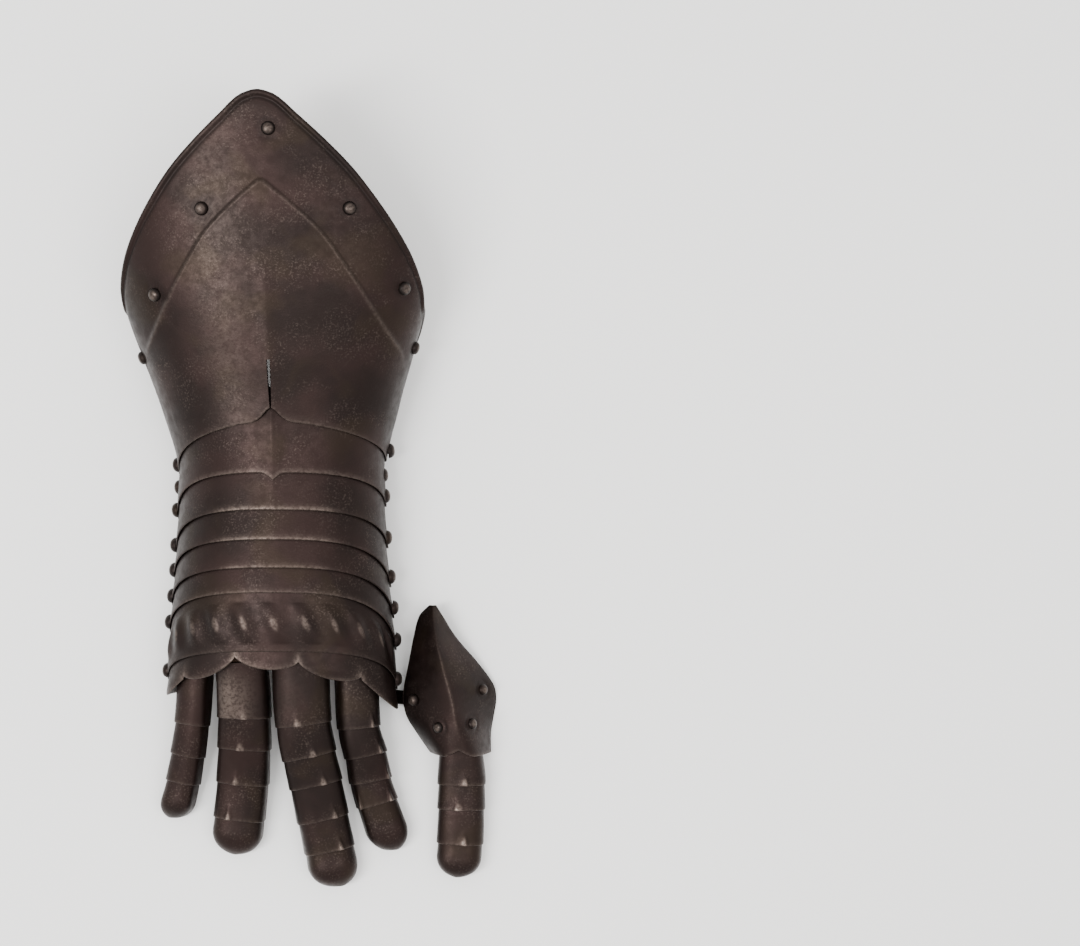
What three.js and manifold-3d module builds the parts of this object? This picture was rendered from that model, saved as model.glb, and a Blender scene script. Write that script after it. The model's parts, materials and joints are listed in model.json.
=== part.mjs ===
// Armoured gauntlet for a right hand: a pointed cuff, seven plates that shingle over the
// wrist and the back of the hand, and small lames on leather strips over fingers and thumb.
// Millimetres, +Z up. It lies back of the hand up: the cuff's point is at +Y, the finger
// tips at -Y, the thumb at +X. The origin is under the middle of the whole gauntlet.
import * as THREE from 'three';
import { mergeVertices } from 'three/addons/utils/BufferGeometryUtils.js';
import Module from 'manifold-3d';

const wasm = await Module();
wasm.setup();

// ---------------------------------------------------------------- driving dimensions
const SHEET = 1.3; // steel of the cuff and the hand plates
const SMALL_SHEET = 1.0; // steel of the finger and thumb lames
const HAND_X = -15.6; // the hand's middle line
const CENTRE_SHIFT = { x: 0.36, y: 0.69 }; // brings the middle of the whole to the origin
const CUFF_LEAN = 0.0235; // the cuff leans to the little finger's side, mm for each mm
const WRIST_Y = 20; // where that lean starts
const FIT = 0.35; // gap between pieces that touch
const SLIDE = 0.65; // least gap between plates that slide over each other
const FLEX = THREE.MathUtils.degToRad(3); // each plate's bend towards the palm
const EAR = 5.5; // plate left beyond a pivot, along the side wall
const PIVOT_Z = 14; // height of the pivots over the plates' feet
const HOLE_RADIUS = 1.9;
const SHANK_RADIUS = 1.5;
const HEAD_RADIUS = 3.75; // domed rivet heads
const HEAD_HEIGHT = 3.1;
const BURR_RADIUS = 2.4; // the rivets' peened inner ends
const BURR_HEIGHT = 0.9;
const ROUND_SIDES = 8; // facets round a rivet
const FACET_SLACK = 0.2; // how far a facet may lie from the true surface under a rivet
const COLUMNS = 20; // facets across a plate
const ARCH_SHARE = 0.82; // share of a half section that is arch; the rest is side wall
const EAR_SHARE = 0.84; // share of a half section where a plate's edge reaches its ear
const TUCK = 3; // how far a side wall draws in at its foot
const RIDGE_WIDTH = 7; // the median ridge's half width
const SLIT = { width: 1.3, inner: 66.4 }; // split on the cuff's middle line
const NOTCH = { depth: 8, half: 9, power: 1.8 }; // point between the cuff's two lobes
const CUSP = { depth: 3.6, half: 6, power: 1.5 }; // small point of the wrist plate's edge
const BEAD = { out: 0.8, inward: 0.5 }; // turned edge of the cuff's rim
const RIM_FOOT_DROP = 21; // how far the rim runs back towards the hand below the waist
const FLUTES = { count: 14, height: 1.3, slant: 0.45, low: 0.14, high: 0.84, share: 0.74 };
const SCALLOP_DEPTH = 4.8;
const SCALLOP_BAND = 8.5; // width of the last plate that shows

// Outer form of the cuff and the hand along y: half width, height of the crown, height of
// the widest place, and height of the ridge down the middle.
const FORM = table(['y', 'half', 'crown', 'waist', 'ridge'], [
  [-112, 57.5, 37.0, 14, 0],
  [-90, 56.8, 43.0, 14, 0],
  [-70, 56.2, 47.5, 14, 0],
  [-45, 54.0, 50.5, 14, 0],
  [-20, 52.2, 52.0, 14, 0],
  [5, 51.4, 53.0, 14, 0.4],
  [21, 51.9, 54.0, 14, 1.0],
  [45, 58.3, 57.0, 17, 1.2],
  [70, 66.0, 62.5, 23, 1.0],
  [93, 72.7, 67.5, 30, 0.8],
  [115, 75.8, 71.5, 35, 0.3],
  [150, 78.5, 77.0, 42, 0],
  [192, 79.5, 81.5, 48, 0],
]);

// The cuff's pointed rim: half width of the outline along y.
const RIM = table(['y', 'half'], [
  [93, 72.7], [103, 72.4], [115.5, 68.8], [128.5, 62.3], [142.5, 53.1],
  [156, 42.8], [168, 31.2], [180.5, 17.6], [188.5, 8.4], [191.5, 0],
]);

// The raised line inside the rim: half width along y, from its apex to its feet.
const BORDER = table(['y', 'half'], [
  [150.2, 0], [139.3, 13.5], [126, 27.5], [113, 36.5], [98, 46], [84, 54], [75, 59.5],
]);

// Domed rivets along the cuff's rim.
const CUFF_RIVETS = table(['x', 'y'], [
  [1, 173], [-31, 136.5], [38, 137], [-55.5, 97.5], [62.5, 101], [-66, 69], [68.5, 74],
]);

// Plates from the cuff to the finger roots. crown is the y of the lower edge on the middle
// line, left and right are the y of the pivots to the next plate, bow shapes the edge
// between them, and tail is how far the next plate reaches up under this one.
const PLATES = table(['name', 'crown', 'left', 'right', 'bow', 'tail'], [
  ['cuff', 37.5, 17.0, 23.9, 1.55, 15.5],
  ['wrist_plate', 13.0, -5.3, 1.6, 2.7, 11],
  ['hand_lame_1', -4.6, -22.6, -19.0, 2.7, 11],
  ['hand_lame_2', -18.9, -34.9, -38.3, 2.7, 11],
  ['hand_lame_3', -32.4, -47.7, -53.6, 2.7, 10],
  ['hand_lame_4', -44.4, -60.5, -69.4, 2.7, 9],
  ['knuckle_plate', -72.9, -84.4, -88.8, 2.7, 10],
]);
const WRIST_RIVETS = { left: 5.9, right: 11.9, burr: 1.9 }; // a plain pair in the wrist plate

// The scalloped lower edge of the last plate: its points, from left to right.
const SCALLOPS = table(['x', 'y'], [
  [-57, -95], [-46.5, -85.5], [-20, -75.7], [11.4, -78], [41, -85.7], [57, -102],
]);

// Fingers: stations from the root to the tip (x and y of the middle, height of the lower
// edges, half width, roll about their length in degrees), depth of the arch and of the
// side walls, lower edges of the lames, and where the tip starts to close and ends.
const STATION = ['y', 'x', 'foot', 'half', 'roll'];
const FINGERS = {
  little: {
    arch: 7, wall: 4.5, edges: [-110.2, -126, -139.8], close: -149, tip: -159,
    stations: table(STATION, [
      [-74, -44.2, 13.8, 8.2, -24], [-110, -47.4, 10, 8.3, -24], [-140, -52.6, 2.5, 8.2, -20],
      [-159, -56.8, 0, 8.2, -10],
    ]),
  },
  ring: {
    arch: 9, wall: 5, edges: [-107, -123, -140.8, -158.8], close: -165, tip: -177,
    stations: table(STATION, [
      [-74, -18.6, 23.5, 12.2, 0], [-107, -18, 16, 13.1, 0], [-141, -20.3, 5, 13.1, 0],
      [-177, -24.6, 0, 12.4, 0],
    ]),
  },
  middle: {
    arch: 10, wall: 5, edges: [-110, -126, -140.6, -158, -173.8], close: -180, tip: -192.6,
    stations: table(STATION, [
      [-74, 10.2, 23, 13.8, 0], [-110, 11.9, 17, 13.8, 3], [-141, 18, 7, 13.4, 8],
      [-174, 25, 0, 12.6, 12], [-192.6, 28.5, 0, 12.6, 12],
    ]),
  },
  index: {
    arch: 7.5, wall: 4.5, edges: [-112, -125.8, -139, -150.4], close: -163, tip: -174.8,
    stations: table(STATION, [
      [-76, 40.5, 14, 10.4, 24], [-112, 41.6, 9.5, 10.4, 24], [-126, 44.8, 6, 10.4, 24],
      [-141, 47, 2, 10.4, 22], [-163, 52.6, 0, 10.2, 14], [-174.8, 55.6, 0, 10.2, 10],
    ]),
  },
};
const THUMB = {
  arch: 10, wall: 5, edges: [-141.6, -154, -171.3], close: -178, tip: -189.5,
  stations: table(STATION, [
    [-112, 87.6, 4, 10.4, 0], [-127, 87.9, 3, 11.9, 0], [-141, 88.2, 2, 13.2, 0],
    [-171, 87.4, 0, 12.9, 0], [-189.5, 86, 0, 12.2, 0],
  ]),
};
const FINGER_TOP = -79; // where the first finger lames end under the scalloped plate
const THUMB_LAP = { up: 9, depth: 1.2 }; // first thumb lame under the diamond plate
const TIP_LAP = 14; // length over which a tip rises to its digit's form
const DIGIT_ARCH_SHARE = 0.74; // share of a digit's half section that is arch
const TIP_ROUND = 0.97; // how far a tip closes
const LAME_TAIL = 6; // how far a small lame reaches up under the one above
const CREASE = { height: 0.9, half: 0.13, length: 8 }; // raised point in the middle of a small edge
const STRIP = { depth: 4.2, thick: 1.8, half: 0.3, up: 6 }; // hidden leather strips

// Diamond plate at the thumb's root: left edge, ridge and right edge along y, their
// heights, and how round the faces are between them.
const DIAMOND = table(['y', 'left', 'ridge', 'right', 'zLeft', 'zRidge', 'zRight', 'round'], [
  [-52.5, 72.4, 74.1, 75.8, 11.5, 12.5, 11.5, 1.3],
  [-57.5, 67.6, 74.5, 78.9, 10.5, 16, 11, 1.2],
  [-68, 64.6, 76.0, 85.2, 9.5, 20, 8.5, 1.15],
  [-83, 61.7, 79.9, 97.5, 8.6, 24, 4, 1.15],
  [-93, 59.7, 82.8, 104.3, 8.2, 25.3, 2.2, 1.15],
  [-100, 59.3, 84.5, 105.4, 8.0, 25.5, 1.3, 1.15],
  [-108, 61.0, 85.8, 104.2, 7.5, 25, 1.1, 1.3],
  [-116.5, 66.0, 86.9, 102.8, 6.0, 24, 1.6, 1.9],
  [-126.5, 72.6, 87.6, 102.8, 4, 22.5, 3, 2.7],
]);
const DIAMOND_RIVETS = table(['x', 'y'], [[77.4, -112], [93.8, -110.5], [98.9, -94.5]]);
const LUG_GAP = 0.8; // between the thumb plate and the tab under it
const THUMB_PIVOT = {
  x: 65.4, y: -99.2, head: 2.9, burr: 2.2, seat: 0.75, lugReach: 5, lugInner: 16, lugHalf: 3.4,
};

// ---------------------------------------------------------------- tables and curves
function table(columns, rows) {
  return rows.map((row) => Object.fromEntries(columns.map((name, i) => [name, row[i]])));
}

// Smooth value of one column of a table at a place along its y.
function along(rows, y, column) {
  const rising = rows[rows.length - 1].y > rows[0].y;
  const list = rising ? rows : [...rows].reverse();
  const clamped = THREE.MathUtils.clamp(y, list[0].y, list[list.length - 1].y);
  let k = 0;
  while (k < list.length - 2 && clamped > list[k + 1].y) k += 1;
  const slope = (i) => {
    const a = list[Math.max(i - 1, 0)];
    const b = list[Math.min(i + 1, list.length - 1)];
    return (b[column] - a[column]) / (b.y - a.y);
  };
  const span = list[k + 1].y - list[k].y;
  const t = (clamped - list[k].y) / span;
  const h = (1 - t) * (1 - t);
  return (1 + 2 * t) * h * list[k][column] + t * h * span * slope(k)
    + t * t * (3 - 2 * t) * list[k + 1][column] + t * t * (t - 1) * span * slope(k + 1);
}

const mix = THREE.MathUtils.lerp;
const evenly = (from, to, steps) => Array.from({ length: steps + 1 }, (_, i) => mix(from, to, i / steps));

// ---------------------------------------------------------------- surfaces
// A point on the outer form of cuff and hand: s runs from -1 at the left foot over 0 at the
// crown to 1 at the right foot.
function formPoint(s, y) {
  const half = along(FORM, y, 'half');
  const waist = along(FORM, y, 'waist');
  const rise = along(FORM, y, 'crown') - waist;
  const t = Math.abs(s);
  const angle = Math.min(t / ARCH_SHARE, 1) * Math.PI / 2;
  const below = Math.max(t - ARCH_SHARE, 0) / (1 - ARCH_SHARE);
  const x = half * Math.sin(angle) - TUCK * below * below;
  const ridge = along(FORM, y, 'ridge') * Math.max(0, 1 - x / RIDGE_WIDTH) ** 1.5;
  const z = below > 0 ? waist * (1 - below) : waist + rise * Math.cos(angle) + ridge;
  const lean = -CUFF_LEAN * Math.max(0, y - WRIST_Y);
  return new THREE.Vector3(HAND_X + lean + Math.sign(s) * x, y, z);
}

// The outward normal of any surface that is given as point(s, y).
function normalOf(point, s, y) {
  const ds = 0.004;
  const dy = 0.05;
  const across = point(s + ds, y).sub(point(s - ds, y));
  const length = point(s, y + dy).sub(point(s, y - dy));
  return across.cross(length).normalize();
}

function sunk(point, s, y, depth) {
  return point(s, y).addScaledVector(normalOf(point, s, y), -depth);
}

// ---------------------------------------------------------------- plate edges
const sideOf = (plate, s) => (s < 0 ? plate.left : plate.right);
const peak = (x, { depth, half, power }) => depth * Math.max(0, 1 - Math.abs(x) / half) ** power;

// Sideways distance from the middle line at s, near the wrist.
const sideways = (s) => 52 * Math.sin(Math.min(Math.abs(s) / ARCH_SHARE, 1) * Math.PI / 2) * Math.sign(s);

function scallopEdge(s) {
  const x = sideways(s) * 57 / 52;
  let k = 0;
  while (k < SCALLOPS.length - 2 && x > SCALLOPS[k + 1].x) k += 1;
  const [a, b] = [SCALLOPS[k], SCALLOPS[k + 1]];
  const t = THREE.MathUtils.clamp((x - a.x) / (b.x - a.x), 0, 1);
  const outer = k === 0 || k === SCALLOPS.length - 2;
  const wave = outer ? 0.35 : Math.sin(Math.PI * t) ** 0.6;
  return mix(a.y, b.y, t) - SCALLOP_DEPTH * wave;
}

// The lower edge of plate i at s.
function lowerEdge(i, s) {
  if (i === PLATES.length) return scallopEdge(s);
  const y = plainEdge(i, s);
  if (i === 0) return y + peak(sideways(s), NOTCH);
  return i === 1 ? y - peak(sideways(s), CUSP) : y;
}

// The same edge without its notch or point: what the next plate is set against.
function plainEdge(i, s) {
  const plate = PLATES[i];
  const share = Math.min(Math.abs(s) / EAR_SHARE, 1);
  return mix(plate.crown, sideOf(plate, s) - EAR, share ** plate.bow);
}

// The hidden upper edge of plate i.
function upperEdge(i, s) {
  const above = PLATES[i - 1];
  return plainEdge(i - 1, s) + mix(above.tail, 2 * EAR, s * s);
}

// How deep plate i lies under the form, so that it slides under plate i - 1. The gap grows
// with the distance from the pivot, which is what the bend of the joint takes up.
function plateDepth(i, s, y) {
  if (i === 0) return 0;
  const edge = plainEdge(i - 1, s);
  const pivot = mix(PLATES[i - 1].left, PLATES[i - 1].right, 0.5 + s / 2);
  const reach = Math.max(0, Math.max(y, edge) - pivot);
  const step = SHEET + SLIDE + FLEX * reach;
  if (y >= edge) return step + 0.03 * (y - edge) + plateDepth(i - 1, s, y);
  const own = i < PLATES.length ? plainEdge(i, s) : edge - SCALLOP_BAND;
  return step * THREE.MathUtils.clamp((y - own) / (edge - own), 0, 1);
}

// Raised slanting flutes across the part of the knuckle plate that shows.
function fluteHeight(s, y) {
  const low = plainEdge(PLATES.length - 1, s);
  const high = plainEdge(PLATES.length - 2, s);
  const v = ((y - low) / (high - low) - FLUTES.low) / (FLUTES.high - FLUTES.low);
  if (v <= 0 || v >= 1 || Math.abs(s) >= FLUTES.share) return 0;
  const turn = FLUTES.count / 2 * s + FLUTES.slant * (v - 0.5);
  return FLUTES.height * Math.abs(Math.cos(Math.PI * turn)) ** 0.8 * Math.sin(Math.PI * v) ** 0.7;
}

// The place along y where the rim crosses the section line s.
function rimY(s) {
  const t = Math.abs(s);
  if (t >= ARCH_SHARE) {
    return RIM[0].y - RIM_FOOT_DROP * ((t - ARCH_SHARE) / (1 - ARCH_SHARE)) ** 1.4;
  }
  const sine = Math.sin(t / ARCH_SHARE * Math.PI / 2);
  let [low, high] = [RIM[0].y, RIM[RIM.length - 1].y];
  for (let step = 0; step < 30; step += 1) {
    const y = (low + high) / 2;
    if (along(FORM, y, 'half') * sine < along(RIM, y, 'half')) low = y;
    else high = y;
  }
  return low;
}

// ---------------------------------------------------------------- meshes
function geometryOf(points, triangles) {
  const geometry = new THREE.BufferGeometry();
  const flat = points.flatMap((p) => [p.x, p.y, p.z]);
  geometry.setAttribute('position', new THREE.Float32BufferAttribute(flat, 3));
  geometry.setIndex(triangles);
  return geometry;
}

// A closed sheet between an outer and an inner grid of points, outer[row][column].
function sheetBetween(outer, inner) {
  const rows = outer.length;
  const columns = outer[0].length;
  const points = [...outer.flat(), ...inner.flat()];
  const out = (r, c) => r * columns + c;
  const inn = (r, c) => rows * columns + r * columns + c;
  const triangles = [];
  const quad = (a, b, c, d) => triangles.push(a, b, c, a, c, d);
  for (let r = 0; r < rows - 1; r += 1) {
    for (let c = 0; c < columns - 1; c += 1) {
      quad(out(r, c), out(r, c + 1), out(r + 1, c + 1), out(r + 1, c));
      quad(inn(r, c), inn(r + 1, c), inn(r + 1, c + 1), inn(r, c + 1));
    }
    quad(out(r, 0), out(r + 1, 0), inn(r + 1, 0), inn(r, 0));
    quad(out(r, columns - 1), inn(r, columns - 1), inn(r + 1, columns - 1), out(r + 1, columns - 1));
  }
  for (let c = 0; c < columns - 1; c += 1) {
    quad(out(0, c), inn(0, c), inn(0, c + 1), out(0, c + 1));
    quad(out(rows - 1, c), out(rows - 1, c + 1), inn(rows - 1, c + 1), inn(rows - 1, c));
  }
  return geometryOf(points, triangles);
}

// A sheet over a surface. rows gives, for a column s, the list of { y, out, deep }: the
// place, the height added outside, and the depth of the inner side below the surface.
function sheetOver(point, columns, rows, flatFeet) {
  const grid = columns.map((s) => rows(s).map(({ y, out, deep }) => {
    const outer = sunk(point, s, y, -out);
    const inner = sunk(point, s, y, deep);
    outer.z = Math.max(outer.z, 0);
    inner.z = Math.max(inner.z, 0);
    if (flatFeet && Math.abs(s) === 1) {
      outer.z = 0;
      inner.z = 0;
    }
    return { outer, inner };
  }));
  const pick = (side) => grid[0].map((_, r) => grid.map((column) => column[r][side]));
  return sheetBetween(pick('outer'), pick('inner'));
}

function toSolid(geometry) {
  const bare = geometry.clone();
  bare.deleteAttribute('normal');
  bare.deleteAttribute('uv');
  const merged = mergeVertices(bare, 1e-4);
  return new wasm.Manifold(new wasm.Mesh({
    numProp: 3,
    vertProperties: new Float32Array(merged.attributes.position.array),
    triVerts: new Uint32Array(merged.index.array),
  }));
}

function fromSolid(solid) {
  const mesh = solid.getMesh();
  const geometry = new THREE.BufferGeometry();
  geometry.setAttribute('position', new THREE.BufferAttribute(new Float32Array(mesh.vertProperties), 3));
  geometry.setIndex([...mesh.triVerts]);
  return geometry;
}

// A geometry whose own Y axis is turned to a direction and moved to a place.
function aimed(geometry, place, direction) {
  const turn = new THREE.Quaternion().setFromUnitVectors(new THREE.Vector3(0, 1, 0), direction);
  return geometry.applyQuaternion(turn).translate(place.x, place.y, place.z);
}

// ---------------------------------------------------------------- materials and scene
const gauntlet = new THREE.Group();
gauntlet.position.set(CENTRE_SHIFT.x, CENTRE_SHIFT.y, 0);
const steel = () => new THREE.MeshStandardMaterial({ color: 0x3b2c29, roughness: 0.48, metalness: 0.9 });
const rivetSteel = () => new THREE.MeshStandardMaterial({ color: 0x2a2220, roughness: 0.5, metalness: 0.9 });
const leather = () => new THREE.MeshStandardMaterial({ color: 0x4a2f1e, roughness: 0.8, metalness: 0 });

function add(name, geometry, material) {
  const mesh = new THREE.Mesh(geometry, material);
  mesh.name = name;
  gauntlet.add(mesh);
}

// ---------------------------------------------------------------- pivots
// Both rivets of a pair, with the line through them as their common axis.
function pivotPair(rowOfY, plateIndex) {
  const foot = (side, y) => {
    const s = side * mix(ARCH_SHARE, 1, 1 - PIVOT_Z / along(FORM, y, 'waist'));
    return sunk(formPoint, s, y, plateDepth(plateIndex, s, y)).setZ(PIVOT_Z);
  };
  const left = foot(-1, rowOfY.left);
  const right = foot(1, rowOfY.right);
  const axis = right.clone().sub(left).normalize();
  return [
    { name: 'left', place: left, out: axis.clone().negate(), s: -1 },
    { name: 'right', place: right, out: axis, s: 1 },
  ];
}

// Highest and lowest place of a plate's outer side along a rivet's axis, within a radius.
function reachAlong(plateIndex, rivet, radius) {
  const reach = [];
  for (const ds of evenly(-0.12, 0.06, 9)) {
    for (const dy of evenly(-radius, radius, 6)) {
      const y = rivet.place.y + dy;
      const s = rivet.s * Math.min(1, ARCH_SHARE + 0.06 + ds);
      const p = sunk(formPoint, s, y, plateDepth(plateIndex, s, y)).sub(rivet.place);
      const height = p.dot(rivet.out);
      if (p.addScaledVector(rivet.out, -height).length() <= radius) reach.push(height);
    }
  }
  return { top: Math.max(...reach), bottom: Math.min(...reach) };
}

// A rivet from its domed head at `seat` down to its peened end under `bottom`.
function rivetGeometry(seat, bottom, head = HEAD_RADIUS, burr = BURR_RADIUS) {
  const height = HEAD_HEIGHT * head / HEAD_RADIUS;
  const profile = [
    [0, bottom - BURR_HEIGHT], [burr, bottom - BURR_HEIGHT], [burr, bottom], [SHANK_RADIUS, bottom],
    [SHANK_RADIUS, seat], [head, seat], [head * 0.86, seat + height * 0.5],
    [head * 0.5, seat + height * 0.87], [0, seat + height],
  ];
  const points = profile.map(([r, h]) => new THREE.Vector2(r, h));
  return new THREE.LatheGeometry(points, ROUND_SIDES);
}

function rivetThrough(rivet, outerPlate, innerPlate) {
  const seat = reachAlong(outerPlate, rivet, HEAD_RADIUS).top + FACET_SLACK + FIT;
  const inside = reachAlong(innerPlate, rivet, BURR_RADIUS).bottom - SHEET - FACET_SLACK - FIT;
  return aimed(rivetGeometry(seat, inside), rivet.place, rivet.out);
}

const boreGeometry = (rivet) => aimed(
  new THREE.CylinderGeometry(HOLE_RADIUS, HOLE_RADIUS, 16, 8), rivet.place, rivet.out,
);

// A low dome that is one with the sheet it sits on.
function dome(point, place, radius) {
  const y = place.y;
  const s = sectionAt(point, place.x + HAND_X, y);
  const profile = [[0, -0.6], [radius, -0.6], [radius, 0.5], [radius * 0.7, radius * 0.55], [0, radius * 0.75]];
  const points = profile.map(([r, h]) => new THREE.Vector2(r, h));
  return aimed(new THREE.LatheGeometry(points, ROUND_SIDES), point(s, y), normalOf(point, s, y));
}

// The s at which a surface stands over a given x.
function sectionAt(point, x, y) {
  let [low, high] = [-0.8, 0.8];
  for (let step = 0; step < 30; step += 1) {
    const s = (low + high) / 2;
    if (point(s, y).x < x) low = s;
    else high = s;
  }
  return low;
}

// ---------------------------------------------------------------- cuff
const PIVOTS = PLATES.map((plate, i) => pivotPair(plate, i));
const PLAIN_PAIR = pivotPair(WRIST_RIVETS, 1);

function cuffRows(s) {
  const hand = lowerEdge(0, s);
  const rim = rimY(s);
  const plain = [0, 0.13, 0.27, 0.42, 0.58, 0.74, 0.88]
    .map((v) => ({ y: mix(hand, rim - 3.4, v), out: 0, deep: SHEET }));
  const turned = [[3.4, 0, 0], [2.5, 0.8, 0.7], [1.1, 1, 1], [0, 0.45, 0.45]]
    .map(([back, out, inward]) => ({ y: rim - back, out: out * BEAD.out, deep: SHEET + inward * BEAD.inward }));
  return [...plain, ...turned];
}

// The raised line inside the rim, a slim ridge that stands on the sheet.
function borderLine() {
  const halves = [0, 7, 14, 21, 28, 36, 44, 52, 59.5];
  const places = [...halves.slice(1).reverse().map((h) => -h), ...halves].map((x) => {
    const rows = BORDER.map((row) => ({ y: row.half, value: row.y }));
    return { x, y: along(rows, Math.abs(x), 'value') };
  });
  const strip = (lift, widths) => widths.map((w) => places.map(({ x, y }) => {
    const s = sectionAt(formPoint, x + HAND_X - CUFF_LEAN * (y - WRIST_Y), y + w);
    return sunk(formPoint, s, y + w, -lift);
  }));
  return sheetBetween(strip(0.45, [-0.9, 0.9]), strip(-0.7, [-1.7, 1.7]));
}

function buildCuff() {
  const columns = evenly(-1, 1, COLUMNS);
  let solid = toSolid(sheetOver(formPoint, columns, cuffRows, true));
  const line = toSolid(borderLine());
  solid = solid.add(line);
  for (const rivet of CUFF_RIVETS) {
    solid = solid.add(toSolid(dome(formPoint, rivet, 3.3)));
  }
  const hand = lowerEdge(0, 0);
  const slit = new THREE.BoxGeometry(SLIT.width, SLIT.inner - hand + 6, 30);
  const middle = (SLIT.inner + hand - 6) / 2;
  slit.translate(HAND_X - CUFF_LEAN * (middle - WRIST_Y), middle, 55);
  solid = solid.subtract(toSolid(slit));
  for (const rivet of PIVOTS[0]) solid = solid.subtract(toSolid(boreGeometry(rivet)));
  add('cuff', fromSolid(solid), steel());
}

// ---------------------------------------------------------------- hand plates
// Rows of plate i: evenly over the part that shows, then one at its hidden upper edge.
function plateRows(i, steps, extra) {
  return (s) => [
    ...evenly(lowerEdge(i, s), plainEdge(i - 1, s), steps),
    mix(plainEdge(i - 1, s), upperEdge(i, s), 0.5),
    upperEdge(i, s),
  ].map((y) => {
    const depth = plateDepth(i, s, y);
    const raise = extra ? extra(s, y) : 0;
    return { y, out: raise - depth, deep: depth + SHEET - raise };
  });
}

// Flat tab of the last plate that carries the thumb, parallel to the thumb plate's face.
function thumbLug() {
  const { lugReach, lugInner: inner, lugHalf } = THUMB_PIVOT;
  const lug = new THREE.BoxGeometry(inner + lugReach, 2 * lugHalf, SHEET);
  lug.translate((lugReach - inner) / 2, 0, -SHEET / 2);
  lug.applyQuaternion(new THREE.Quaternion().setFromUnitVectors(new THREE.Vector3(0, 0, 1), thumbAxis()));
  const place = thumbPivotPlace().addScaledVector(thumbAxis(), -(SMALL_SHEET + LUG_GAP));
  return lug.translate(place.x, place.y, place.z);
}

function buildPlates() {
  for (let i = 1; i <= PLATES.length; i += 1) {
    const scalloped = i === PLATES.length;
    const knuckles = i === PLATES.length - 1;
    const columns = evenly(-1, 1, knuckles || scalloped ? 2 * COLUMNS : COLUMNS);
    const rows = plateRows(i, knuckles ? 6 : scalloped ? 2 : 1, knuckles ? fluteHeight : null);
    let solid = toSolid(sheetOver(formPoint, columns, rows, true));
    const bores = [...PIVOTS[i - 1], ...(PIVOTS[i] ?? []), ...(i === 1 ? PLAIN_PAIR : [])];
    for (const rivet of bores) solid = solid.subtract(toSolid(boreGeometry(rivet)));
    if (scalloped) {
      const place = thumbPivotPlace();
      const bore = new THREE.CylinderGeometry(HOLE_RADIUS, HOLE_RADIUS, 8, 8);
      solid = solid.add(toSolid(thumbLug())).subtract(toSolid(aimed(bore, place, thumbAxis())));
    }
    add(scalloped ? 'finger_root_plate' : PLATES[i].name, fromSolid(solid), steel());
  }
}

function buildRivets() {
  PIVOTS.forEach((pair, i) => {
    for (const rivet of pair) {
      add(`pivot_${i + 1}_${rivet.name}`, rivetThrough(rivet, i, i + 1), rivetSteel());
    }
  });
  for (const rivet of PLAIN_PAIR) {
    const { top, bottom } = reachAlong(1, rivet, HEAD_RADIUS);
    const geometry = rivetGeometry(
      top + FACET_SLACK + FIT, bottom - SHEET - FACET_SLACK - FIT, HEAD_RADIUS, WRIST_RIVETS.burr,
    );
    add(`wrist_rivet_${rivet.name}`, aimed(geometry, rivet.place, rivet.out), rivetSteel());
  }
}

// ---------------------------------------------------------------- fingers
// A point on a finger's outer form. Sections stand square to the finger's middle line, and
// near the tip they close in a quarter round.
function fingerPoint(finger) {
  return (s, y) => {
    const at = Math.max(y, finger.tip);
    const roll = THREE.MathUtils.degToRad(along(finger.stations, at, 'roll'));
    const closing = THREE.MathUtils.clamp((finger.close - at) / (finger.close - finger.tip), 0, TIP_ROUND);
    const shrink = Math.sqrt(1 - closing * closing);
    const half = along(finger.stations, at, 'half') * shrink;
    const arch = finger.arch * mix(0.55, 1, shrink);
    const wall = finger.wall * shrink;
    const angle = Math.min(Math.abs(s) / DIGIT_ARCH_SHARE, 1) * Math.PI / 2;
    const below = Math.max(Math.abs(s) - DIGIT_ARCH_SHARE, 0) / (1 - DIGIT_ARCH_SHARE);
    const across = Math.sign(s) * half * Math.sin(angle);
    const drop = arch * (1 - Math.cos(angle)) + wall * below;
    const top = along(finger.stations, at, 'foot') + (arch + wall) * Math.cos(roll)
      + half * Math.abs(Math.sin(roll));
    const lateral = across * Math.cos(roll) - drop * Math.sin(roll);
    const z = top - across * Math.sin(roll) - drop * Math.cos(roll);
    const bend = along(finger.stations, at + 1, 'x') - along(finger.stations, at - 1, 'x');
    const square = new THREE.Vector2(1, -bend / 2).normalize();
    const x = HAND_X + along(finger.stations, at, 'x') + lateral * square.x;
    return new THREE.Vector3(x, y + lateral * square.y, z);
  };
}

// Depth of lame k below its finger's form: each slips under the one above it.
function lameDepth(edges, k, y) {
  if (k === 0) return 0;
  const step = SMALL_SHEET + SLIDE;
  const edge = edges[k - 1];
  if (y >= edge) return step + lameDepth(edges, k - 1, y);
  const own = k < edges.length ? edges[k] : edges[k - 1] - TIP_LAP;
  return step * THREE.MathUtils.clamp((y - own) / (edge - own), 0, 1);
}

function creaseHeight(s, y, edge) {
  const side = Math.max(0, 1 - Math.abs(s) / CREASE.half);
  const end = THREE.MathUtils.clamp(1 - (y - edge) / CREASE.length, 0, 1);
  return CREASE.height * side * end;
}

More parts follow.
